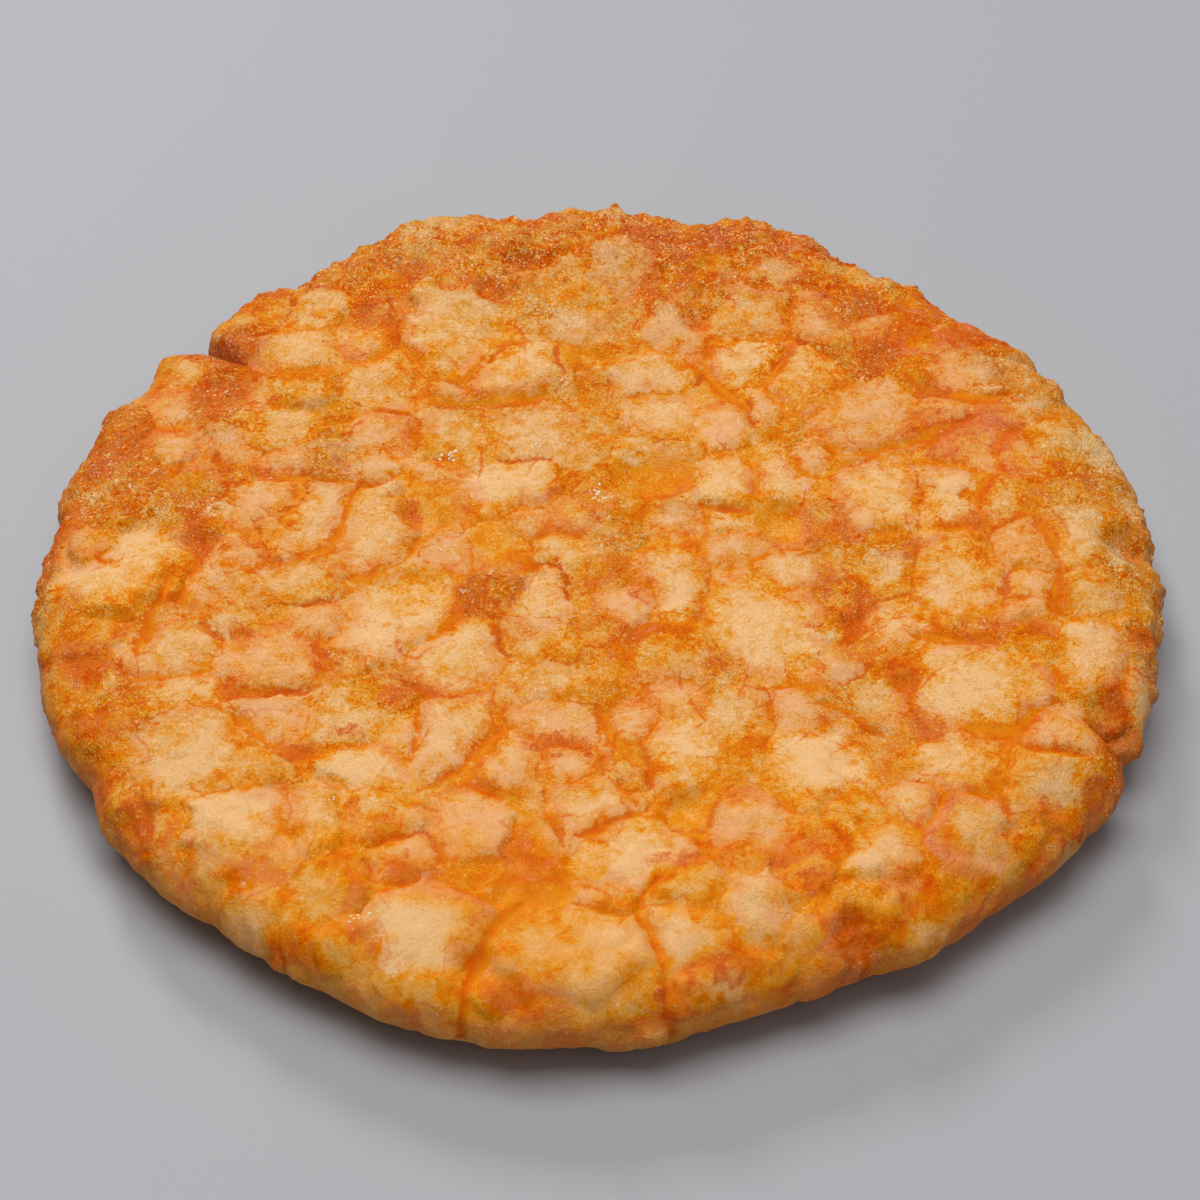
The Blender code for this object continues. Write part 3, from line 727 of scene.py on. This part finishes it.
    # the sides and the back are fried darker than the middle
    browned = smoothStep(0.5, 0.98, np.hypot(x, y) / crust["radius"])
    browned *= smoothStep(-30.0, 0.0, y) * (0.75 + 0.25 * smoothStep(0.0, 25.0, x))
    bright = 0.035 + perPlate("pale") + tone + (brightWay * way).sum(1) - 0.13 * browned
    # paler towards a plate's middle: partly the skin's own tone, partly a painted glow of light through the
    # thin skin; a little darker towards the front
    bright += 0.20 * (np.clip(1.0 - q1, -0.3, 1.0) - 0.3) - 0.03 * smoothStep(-25.0, -48.0, y)
    soy = spotField(patternBent, soyStains) * onTop
    soy += (0.6 - 0.25 * frontness) * rimness * smoothStep(0.0, 0.7, mottled)
    wider = [(*place, 1.7 * a + 2, 1.7 * b + 2, turn, strength) for *place, a, b, turn, strength in soyStains]
    deep = np.maximum(0.8 * spotField(patternBent, wider) * onTop, 0.9 * backness)
    deep += 0.4 * rimness + 0.35 * browned + 0.5 * waves(11.0, 140, 2)
    fields = {
        "plate": np.clip(plate, -3, 4), "own": np.clip(own, -4, 6), "soft": np.clip(soft, 0, 1),
        "bright": np.clip(bright, 0, 1.2), "pink": perPlate("pink"),
        "gap": gap, "side": np.clip(side, -6, 6), "crackWidth": width, "crackLuck": pairLuck,
        "cut": np.clip(cut, -6, 6), "cutAway": np.abs(cut), "cutWidth": cutWidth, "cutRed": cutRed,
        "broad": waves(4.5, 130, 4, 0.6),
        "cloud": waves(3.0, 135, 3, 0.6) * (1.0 + 0.5 * smoothStep(0.0, -40.0, y)),
        "flakeSide": np.clip(flakeSide, -4, 4), "flakeGap": flakeGap, "creaseWidth": creaseWidth,
        "flakeTone": flakeLuck[:, 0], "flakePink": flakeLuck[:, 1],
        "calm": 0.55 * smoothStep(-14.0, -54.0, y), "rim": 1.0 - smoothStep(0.1, 0.75, up),
        "crumb": crumb, "oil": perPlate("oil") * smoothStep(1.3, 0.7, q1),
        "soy": np.clip(soy, 0, 1.2), "deep": np.clip(deep, 0, 1.2),
        "frost": spotField(patternBent, frostSpots),
        "bake": spotField(pattern, brownedPlaces) - spotField(pattern, palePlaces),
    }
    return relief, fields, (onTop, rimness, backness, down)


def shapeCrust(base, relief, masks, normals):
    # moves each point outwards by its relief; the top sinks into a shallow dish, and below the relief is
    # lowered so that nothing reaches under the resting plane
    onTop, _, _, down = masks
    out = np.hypot(base[:, 0], base[:, 1]) / crust["radius"]
    sunken = crust["dish"] * (1.0 - smoothStep(0.4, 0.85, out)) * onTop
    relief = relief - sunken - roughness["tuck"] * down ** 4
    points = base + normals * relief[:, None]
    z = points[:, 2]
    z = np.where(z > roughness["tops"], 0.5 * (z + roughness["tops"]), z)
    foot = roughness["foot"]
    points[:, 2] = np.where(z < foot, foot * np.exp(np.minimum(z / foot - 1.0, 0.0)), z)
    return points


class Tree:
    # a thin wrapper that adds nodes to one material and links them
    def __init__(self, name):
        self.material = bpy.data.materials.new(name)
        self.material.use_nodes = True
        self.nodes = self.material.node_tree.nodes
        self.links = self.material.node_tree.links
        self.shader = self.nodes["Principled BSDF"]
        self.place = self.add("ShaderNodeTexCoord").outputs["Object"]

    def add(self, kind, inputs=None, **settings):
        node = self.nodes.new(kind)
        for key, value in settings.items():
            setattr(node, key, value)
        for key, value in (inputs or {}).items():
            self.put(node.inputs[key], value)
        return node

    def put(self, socket, value):
        if isinstance(value, bpy.types.NodeSocket):
            self.links.new(value, socket)
        else:
            socket.default_value = value

    def math(self, operation, first, second=0.0, third=0.0, clamp=False):
        inputs = {0: first, 1: second, 2: third}
        return self.add("ShaderNodeMath", inputs, operation=operation, use_clamp=clamp).outputs[0]

    def times(self, first, second):
        return self.math("MULTIPLY", first, second)

    def minus(self, first, second):
        return self.math("SUBTRACT", first, second)

    def plus(self, value, *parts):
        # value, plus each part times its weight
        for part, weight in parts:
            value = self.math("MULTIPLY_ADD", part, weight, value)
        return value

    def step(self, value, low, high, fromValue=0.0, toValue=1.0):
        # 3t^2 - 2t^3 between low and high, like smoothStep
        settings = {"interpolation_type": "SMOOTHSTEP", "clamp": True}
        inputs = {"Value": value, "From Min": low, "From Max": high, "To Min": fromValue, "To Max": toValue}
        return self.add("ShaderNodeMapRange", inputs, **settings).outputs[0]

    def mix(self, factor, first, second, blend="MIX"):
        node = self.add("ShaderNodeMix", {"Factor": factor}, data_type="RGBA", blend_type=blend)
        self.put(node.inputs[6], first)
        self.put(node.inputs[7], second)
        return node.outputs[2]

    def noise(self, size, detail=3.0, roughness=0.55, distortion=0.0):
        inputs = {"Vector": self.place, "Scale": 1.0 / (size * mm), "Detail": detail,
                  "Roughness": roughness, "Distortion": distortion}
        return self.add("ShaderNodeTexNoise", inputs).outputs["Fac"]

    def cells(self, size, channel):
        # distance to the nearest of many scattered points, and a random number for each point
        node = self.add("ShaderNodeTexVoronoi", {"Vector": self.place, "Scale": 1.0 / (size * mm)})
        luck = self.add("ShaderNodeSeparateColor", {"Color": node.outputs["Color"]})
        return node.outputs["Distance"], luck.outputs[channel]

    def attribute(self, name):
        return self.add("ShaderNodeAttribute", attribute_name=name).outputs["Fac"]

    def ramp(self, value, stops):
        node = self.add("ShaderNodeValToRGB", {"Fac": value})
        ramp = node.color_ramp
        while len(ramp.elements) > 1:
            ramp.elements.remove(ramp.elements[-1])
        for number, (position, colour) in enumerate(stops):
            element = ramp.elements[0] if number == 0 else ramp.elements.new(position)
            element.position = position
            element.color = (*colour, 1.0)
        return node.outputs["Color"]


skin = {
    # from the deepest fried orange to the palest skin
    "tones": [(0.0, (0.68, 0.085, 0.001)), (0.2, (0.78, 0.145, 0.001)), (0.38, (0.82, 0.22, 0.001)),
              (0.5, (0.84, 0.30, 0.012)), (0.64, (0.855, 0.375, 0.065)), (0.8, (0.875, 0.445, 0.140)),
              (1.0, (0.91, 0.53, 0.230))],
    # each further colour, and how much of it covers the skin where it is strongest
    "pinkTan": ((0.83, 0.340, 0.150), 0.6),
    "oil": ((0.84, 0.31, 0.012), 0.4),
    "rimTan": ((0.78, 0.280, 0.090), 0.38),
    "freckle": ((0.82, 0.27, 0.006), 0.6),
    "crease": ((0.74, 0.130, 0.001), 0.7),
    "soyFilm": ((0.80, 0.210, 0.020), 0.55),
    "soy": ((0.66, 0.095, 0.002), 0.85),
    # pale tops of tiny bubbles, with painted highlights
    "paintedBubbleHighlight": ((0.96, 0.66, 0.34), 0.6),
    "frost": ((0.95, 0.64, 0.30), 0.6),
    "crackGold": (0.82, 0.255, 0.003), "crackDeep": (0.74, 0.130, 0.001), "crackRed": (0.62, 0.085, 0.001),
    "crackCover": (0.88, 0.95),          # cracks between plates, and single cracks
    # sizes in mm of the grain that the material adds
    "fine": 1.5, "tiny": 0.6, "grain": 0.24, "squiggle": 0.5, "freckles": 2.4, "specks": 0.55,
    # how strongly broad, cloud, fine, tiny, grain and flake change the skin, and the orange between plates
    "skinGrain": (0.8, 0.8, 0.95, 0.9, 0.5, 0.07),
    "orangeGrain": (0.8, 0.9, 1.0, 0.7, 0.20, 0.12),
    "orangeTone": (0.52, 0.19),          # tone between plates, where shallow and where deep
    "bake": -0.11,                       # tone added where the crust is browned most
    "mottle": -0.45,                     # tone added in the mottles of the front and the rim
    "speckle": 0.22,                     # contrast of the fine speckle over everything
    "bump": (0.14, 0.10, 0.26),          # mm of fine height: everywhere, bubbly, and more in the crumb
    "roughness": (0.50, 0.38, 0.36),     # plate, crack, crumb
    "specular": 0.03,
}


def crustMaterial():
    # a tone is summed for each point and looked up in the tones, then further colours are laid over it one by
    # one, each where its own attribute plus noise passes a threshold
    tree = Tree("friedCrust")
    read, times, plus, minus, step = tree.attribute, tree.times, tree.plus, tree.minus, tree.step

    def cover(colour, name, amount):
        over, share = skin[name]
        return tree.mix(times(amount, share), colour, (*over, 1))

    fine = tree.noise(skin["fine"], 3.0, 0.6)
    tiny = tree.noise(skin["tiny"], 1.0, 0.6, 1.2)
    grain = tree.noise(skin["grain"], 1.0, 0.6)
    squiggle = tree.noise(skin["squiggle"], 2.0, 0.65, 1.8)
    crumb, soy, oil, soft = read("crumb"), read("soy"), read("oil"), read("soft")
    flakeTone = read("flakeTone")
    broadPart, cloudPart = times(read("broad"), 0.35), times(read("cloud"), 0.35)
    # the fine unevenness is stronger towards the back
    lively = minus(1.0, read("calm"))
    fineAll = minus(fine, 0.5)
    finePart = times(fineAll, plus(0.6, (lively, 0.4)))
    tinyPart, grainPart = times(minus(tiny, 0.5), lively), times(minus(grain, 0.5), lively)

    # a plate's skin fades out over its edge, wider and more crumbled where soft is greater
    ragged = plus(finePart, (tinyPart, 0.9), (grainPart, 0.35), (cloudPart, 1.2))
    outline = plus(read("own"), (ragged, plus(1.4, (soft, 3.0))))
    outline = step(outline, -0.7, plus(0.7, (soft, 1.7)))
    wayIn = plus(read("plate"), (ragged, plus(0.7, (soft, 2.2))))
    hasSkin = times(outline, step(wayIn, -0.4, plus(0.6, (soft, 1.7))))

    # the skin, and the bare places between plates: smooth fried orange, golden where it is shallow
    parts = (broadPart, cloudPart, finePart, tinyPart, grainPart, flakeTone)
    # the skin pales from its edge inwards: partly its own tone, partly a painted glow of light shining
    # through the thin skin
    tone = times(read("bright"), step(wayIn, -0.3, 2.6, 0.68, 1.0))
    tone = plus(tone, *zip(parts, skin["skinGrain"]))
    orange = plus(step(read("deep"), 0.1, 1.1, *skin["orangeTone"]), *zip(parts, skin["orangeGrain"]))
    orange = plus(orange, (read("calm"), -0.04))
    grainy = times(times(minus(squiggle, 0.46), plus(0.5, (crumb, 2.6))), lively)
    orange = plus(orange, (grainy, 1.0))
    tone = plus(orange, (hasSkin, minus(tone, orange)))
    tone = plus(tone, (read("bake"), skin["bake"]))

    # orange mottles of 1 to 3 mm, on the smooth front and the rim
    mottle = step(plus(times(cloudPart, 0.8), (fineAll, 1.5)), 0.0, 0.34, 0.0, skin["mottle"])
    mottled = plus(times(read("calm"), 0.7), (read("rim"), 0.7))
    colour = tree.ramp(plus(tone, (mottle, mottled)), skin["tones"])

    # pinkish skin on some plates, and in patches along the edges of most
    edge = times(step(wayIn, -0.3, 0.3), step(wayIn, 0.6, 2.4, 1.0, 0.0))
    edge = times(edge, step(plus(finePart, (read("flakePink"), 1.0)), -0.1, 0.5))
    pinkHere = times(read("pink"), step(cloudPart, -0.2, 0.1, 0.35, 1.0))
    pinkHere = times(tree.math("MAXIMUM", pinkHere, edge), hasSkin)
    pinkHere = times(pinkHere, step(ragged, -0.5, 0.3, 0.4, 1.0))
    colour = cover(colour, "pinkTan", pinkHere)
    colour = cover(colour, "oil", oil)
    # the rim is tanned evenly by the fat
    rimHere = plus(read("rim"), (finePart, 1.6), (cloudPart, 1.6))
    colour = cover(colour, "rimTan", step(rimHere, 0.2, 1.1))

    distance, chance = tree.cells(skin["freckles"], "Red")
    freckle = times(step(plus(distance, (tinyPart, 0.4)), 0.08, 0.24, 1.0, 0.0), step(chance, 0.45, 0.5))
    colour = cover(colour, "freckle", freckle)

    # cracks: the signed distance is exact where a crack is near; a crack is deep orange along one side
    def outOf(side, away, width, wobble):
        near = tree.math("MAXIMUM", tree.math("ABSOLUTE", side), minus(away, 0.45))
        return plus(minus(near, width), (finePart, wobble), (tinyPart, 0.8 * wobble))

    def crackColour(side, width, red):
        across = tree.math("DIVIDE", side, plus(0.2, (tree.math("MAXIMUM", width, 0.0), 1.0)))
        across = plus(across, (finePart, 2.5))
        gold = tree.mix(step(across, -0.9, 0.8), (*skin["crackDeep"], 1), (*skin["crackGold"], 1))
        return tree.mix(red, gold, (*skin["crackRed"], 1))

    side, width, cut, cutWidth = read("side"), read("crackWidth"), read("cut"), read("cutWidth")
    inPlateCrack = step(outOf(side, read("gap"), width, 0.9), -0.26, 0.36, 1.0, 0.0)
    inSingleCrack = step(outOf(cut, read("cutAway"), cutWidth, 1.1), -0.24, 0.32, 1.0, 0.0)
    redPlate = step(plus(read("crackLuck"), (broadPart, 1.5)), 0.7, 1.1)
    redSingle = step(plus(read("cutRed"), (broadPart, 1.5)), 0.35, 0.9)
    plateColour, singleColour = crackColour(side, width, redPlate), crackColour(cut, cutWidth, redSingle)
    plateCover, singleCover = skin["crackCover"]
    colour = tree.mix(times(inPlateCrack, plateCover), colour, plateColour)
    colour = tree.mix(times(inSingleCrack, singleCover), colour, singleColour)
    inCrack = tree.math("MAXIMUM", inPlateCrack, inSingleCrack)

    # thin creases between some of the small flakes
    crease = outOf(read("flakeSide"), read("flakeGap"), read("creaseWidth"), 0.35)
    crease = times(step(crease, -0.07, 0.13, 1.0, 0.0), step(wayIn, 0.8, 2.2, 1.0, 0.3))
    colour = cover(colour, "crease", times(crease, lively))

    # soy: a thin film with ragged edges, red-brown where it is strong
    curls = times(minus(squiggle, 0.5), lively)
    stain = plus(soy, (cloudPart, 3.0), (fineAll, 3.6), (tinyPart, 2.2), (curls, 1.6), (hasSkin, -0.15))
    stained = step(soy, 0.04, 0.35)
    colour = cover(colour, "soyFilm", times(stained, step(stain, 0.2, 0.8)))
    colour = cover(colour, "soy", times(stained, step(stain, 0.5, 1.4)))

    # small pale flecks: the pale tops of tiny bubbles with painted highlights on them, thickest in the crumb
    distance, chance = tree.cells(skin["specks"], "Green")
    often = plus(0.90, (cloudPart, -0.9), (crumb, -0.35))
    paintedHighlightMask = times(step(distance, 0.12, 0.36, 1.0, 0.0), step(chance, often, plus(0.1, (often, 1.0))))
    glassyPaintedHighlight = plus(0.73, (cloudPart, -0.2), (crumb, -0.16))
    glassyPaintedHighlight = step(squiggle, glassyPaintedHighlight, plus(0.06, (glassyPaintedHighlight, 1.0)))
    paintedHighlightMask = times(tree.math("MAXIMUM", times(paintedHighlightMask, 0.7), glassyPaintedHighlight), lively)
    colour = cover(colour, "paintedBubbleHighlight", paintedHighlightMask)

    # dry, whitish crumb along parts of the rim
    frost = plus(read("frost"), (minus(squiggle, 0.5), 2.2), (fineAll, 2.6))
    colour = cover(colour, "frost", step(frost, 0.45, 1.0))

    # fine speckle over everything
    speckle = plus(1.0, (grainPart, skin["speckle"]))
    speckleColour = tree.add("ShaderNodeCombineColor", {0: speckle, 1: speckle, 2: speckle}).outputs[0]
    colour = tree.mix(1.0, colour, speckleColour, "MULTIPLY")

    plateRough, crackRough, crumbRough = skin["roughness"]
    rough = plus(crumbRough, (hasSkin, plateRough - crumbRough))
    rough = plus(rough, (inCrack, minus(crackRough, rough)), (oil, -0.12))
    rough = tree.math("MULTIPLY_ADD", finePart, 0.3, rough, clamp=True)

    # height in mm of what is finer than the mesh
    everywhere, bubbly, crumbly = skin["bump"]
    height = plus(times(tiny, everywhere), (squiggle, plus(bubbly, (crumb, crumbly))))
    height = times(height, plus(0.2, (lively, 0.8)))
    bump = tree.add("ShaderNodeBump", {"Height": height, "Distance": mm, "Strength": 1.0})

    shader = tree.shader
    tree.put(shader.inputs["Base Color"], colour)
    tree.put(shader.inputs["Roughness"], rough)
    tree.put(shader.inputs["Normal"], bump.outputs[0])
    shader.inputs["Specular IOR Level"].default_value = skin["specular"]
    return tree.material


print("shaping the crust")
base, normals, crustFaces = crustForm()
seeds = placeSeeds(base, normals)
print(len(seeds[4]), "plates")
relief, fields, masks = crustRelief(base, normals, seeds)
crustPoints = shapeCrust(base, relief, masks, normals)
crackerCrust = meshPiece("crackerCrust", crustPoints, crustFaces, crustMaterial())
for name, values in fields.items():
    setAttribute(crackerCrust, name, values)
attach(crackerCrust, "root")
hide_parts("cracker")


crumbs = {
    "bubbles": {"count": 3000, "radius": (0.10, 0.24), "height": (0.7, 1.0), "sink": 0.45, "seed": 5,
                "tones": [(0.0, (0.82, 0.26, 0.004)), (0.5, (0.90, 0.42, 0.05)), (1.0, (0.95, 0.60, 0.19))],
                "roughness": 0.35, "specular": 0.10},
    "drops": {"count": 500, "radius": (0.05, 0.12), "height": (0.30, 0.45), "sink": 0.10, "seed": 6,
              "tones": [(0.0, (0.82, 0.28, 0.010)), (1.0, (0.90, 0.42, 0.08))],
              "roughness": 0.12, "specular": 0.5},
    # painted glints: pale beads that stand in for highlights on the oil and stay put whatever the light
    "paintedGlintBeads": {"count": 90, "radius": (0.08, 0.26), "height": (0.2, 0.3), "sink": 0.05, "seed": 7,
               "tones": [(0.0, (0.95, 0.66, 0.30)), (1.0, (0.97, 0.84, 0.60))],
               "roughness": 0.22, "specular": 0.35},
}

crumbStretch = (0.7, 1.3)   # a crumb's length and width, as shares of its radius
crumbLumps = 0.15           # unevenness of a crumb

# places of the painted glints, pale beads that stand in for highlights on the oil: x, y, length, width, turn,
# strength
paintedGlintSpots = [
    (-6.0, 18.5, 2.6, 1.0, 60, 1.0), (-15.0, 16.5, 2.0, 0.8, 20, 1.0), (-0.3, 11.0, 1.0, 2.6, 10, 1.0),
    (-21.5, -45.0, 2.0, 0.8, 20, 1.0), (-15.3, 3.0, 1.4, 0.9, 0, 0.5), (-26.0, -9.5, 0.9, 0.9, 0, 0.5),
    (-24.8, -31.0, 1.2, 0.8, 0, 0.4), (36.5, -8.0, 1.4, 0.9, 0, 0.4), (13.5, 21.0, 1.4, 0.9, 0, 0.4),
]

icosahedron = np.array([
    (0, 1, 1.618), (0, -1, 1.618), (0, 1, -1.618), (0, -1, -1.618), (1, 1.618, 0), (-1, 1.618, 0),
    (1, -1.618, 0), (-1, -1.618, 0), (1.618, 0, 1), (1.618, 0, -1), (-1.618, 0, 1), (-1.618, 0, -1),
]) / 1.902
icosahedronFaces = np.array([
    (0, 1, 8), (0, 8, 4), (0, 4, 5), (0, 5, 10), (0, 10, 1), (1, 6, 8), (8, 6, 9), (8, 9, 4), (4, 9, 2),
    (4, 2, 5), (5, 2, 11), (5, 11, 10), (10, 11, 7), (10, 7, 1), (1, 7, 6), (3, 9, 6), (3, 2, 9),
    (3, 11, 2), (3, 7, 11), (3, 6, 7),
])


def spotsOnCrust(count, weight, seed):
    # random places on the crust's quads, more where area times weight is greater
    draw = np.random.default_rng(seed)
    quads = crustFaces[0]
    corners = crustPoints[quads]
    area = np.linalg.norm(np.cross(corners[:, 2] - corners[:, 0], corners[:, 3] - corners[:, 1]), axis=1)
    chance = area * weight[quads].mean(1)
    picked = draw.choice(len(quads), count, p=chance / chance.sum())
    u, v = draw.uniform(size=(2, count, 1))
    shares = np.stack([(1 - u) * (1 - v), u * (1 - v), u * v, (1 - u) * v], 1)
    places = (corners[picked] * shares).sum(1)
    outward = (crustNormals[quads[picked]] * shares).sum(1)
    return places, outward / np.linalg.norm(outward, axis=1)[:, None], draw


def crumbMaterial(name, look):
    # each crumb's own tone plus noise picks its colour
    tree = Tree(name)
    tone = tree.plus(tree.attribute("tone"), (tree.minus(tree.noise(0.5, 2.0), 0.5), 1.0))
    tree.put(tree.shader.inputs["Base Color"], tree.ramp(tone, look["tones"]))
    tree.shader.inputs["Roughness"].default_value = look["roughness"]
    tree.shader.inputs["Specular IOR Level"].default_value = look["specular"]
    return tree.material


def scatterCrumbs(name, look, weight):
    # each crumb is a small lumpy ball, flattened along the crust's outward direction and partly sunk in it
    count = look["count"]
    places, outward, draw = spotsOnCrust(count, weight, look["seed"])
    low, high = look["radius"]
    radius = low * (high / low) ** (draw.uniform(size=(count, 1)) ** 1.5)
    across = np.cross(outward, draw.normal(size=(count, 3)))
    across /= np.linalg.norm(across, axis=1)[:, None]
    frames = np.stack([across, np.cross(outward, across), outward], 1)
    flat = draw.uniform(*look["height"], size=count)
    squash = np.stack([draw.uniform(*crumbStretch, count), draw.uniform(*crumbStretch, count), flat], -1)
    ball = icosahedron[None] * (1.0 + crumbLumps * draw.normal(size=(count, 12, 1))) * squash[:, None]
    points = np.einsum("nij,njk->nik", ball, frames) * radius[:, :, None]
    points += (places - outward * radius * flat[:, None] * look["sink"])[:, None]
    faces = (icosahedronFaces[None] + 12 * np.arange(count)[:, None, None]).reshape(-1, 3)
    piece = meshPiece(name, points.reshape(-1, 3), [faces], crumbMaterial(name + "Skin", look))
    setAttribute(piece, "tone", np.repeat(draw.uniform(size=count), 12))
    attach(piece, "root")
    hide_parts("cracker")


crustNormals = np.empty(len(crustPoints) * 3, np.float32)
crackerCrust.data.vertices.foreach_get("normal", crustNormals)
crustNormals = crustNormals.reshape(-1, 3)
bare = smoothStep(0.9, -0.2, fields["plate"])
onTop, rimness, backness, _ = masks
roughHere = fields["crumb"] ** 1.5 * (0.15 + 0.85 * bare)
onPattern = base - np.array([*crust["patternShift"], 0.0])
print("scattering crumbs")
notFront = smoothStep(-20.0, 5.0, base[:, 1])
scatterCrumbs("crumbBubbles", crumbs["bubbles"], (0.01 + rimness + backness) * roughHere * notFront)
scatterCrumbs("oilDrops", crumbs["drops"], onTop * (0.02 + roughHere) * (0.05 + 0.95 * notFront))
# pale beads painted as the glints of the oil, where they show
scatterCrumbs("paintedGlints", crumbs["paintedGlintBeads"], onTop * spotField(onPattern, paintedGlintSpots))


studio = {
    "aim": (0.0, 0.0, 5.5), "distance": 438.6, "elevation": 44.0, "lens": 135.0,
    "floorColour": (0.42, 0.425, 0.447), "floorHalf": 1.5,
    # soft lights: place in metres, size, power in watts, colour
    "lights": {
        "keyLight": ((-0.30, 0.92, 0.70), 0.30, 5.6, (1.0, 0.99, 0.97)),
        "topLight": ((-0.10, 0.0, 1.30), 1.00, 12.0, (1.0, 1.0, 1.0)),
        "frontLight": ((0.50, -0.85, 0.95), 0.90, 1.9, (0.97, 0.98, 1.0)),
    },
    "sky": (0.94, 0.96, 1.0), "skyStrength": 0.10,
}


def buildCamera():
    # aimed at a point above the middle, from the given distance and elevation in front
    data = bpy.data.cameras.new("camera")
    data.lens = studio["lens"]
    data.sensor_width = 36.0
    data.clip_start, data.clip_end = 0.01, 10.0
    camera = bpy.data.objects.new("camera", data)
    elevation = math.radians(studio["elevation"])
    back = np.array([0.0, -math.cos(elevation), math.sin(elevation)]) * studio["distance"]
    camera.location = (np.array(studio["aim"]) + back) * mm
    camera.rotation_euler = (math.pi / 2 - elevation, 0.0, 0.0)
    bpy.context.scene.collection.objects.link(camera)
    bpy.context.scene.camera = camera


def buildFloor():
    half = studio["floorHalf"] / mm
    corners = np.array([(-half, -half, 0), (half, -half, 0), (half, half, 0), (-half, half, 0)], float)
    tree = Tree("floorPaint")
    tree.shader.inputs["Base Color"].default_value = (*studio["floorColour"], 1)
    tree.shader.inputs["Roughness"].default_value = 0.6
    meshPiece("floor", corners, [np.array([[0, 1, 2, 3]])], tree.material)


def buildLights():
    # square lights turned towards the origin, and an even sky
    for name, (place, size, power, colour) in studio["lights"].items():
        data = bpy.data.lights.new(name, "AREA")
        data.shape, data.size, data.energy, data.color = "SQUARE", size, power, colour
        light = bpy.data.objects.new(name, data)
        light.location = place
        way = -np.array(place) / np.linalg.norm(place)
        light.rotation_euler = (math.acos(-way[2]), 0.0, math.atan2(way[1], way[0]) - math.pi / 2)
        bpy.context.scene.collection.objects.link(light)
    world = bpy.data.worlds.new("softStudio")
    world.use_nodes = True
    background = world.node_tree.nodes["Background"]
    background.inputs["Color"].default_value = (*studio["sky"], 1)
    background.inputs["Strength"].default_value = studio["skyStrength"]
    bpy.context.scene.world = world
    bpy.context.scene.view_settings.view_transform = "Standard"


buildCamera()
buildFloor()
buildLights()
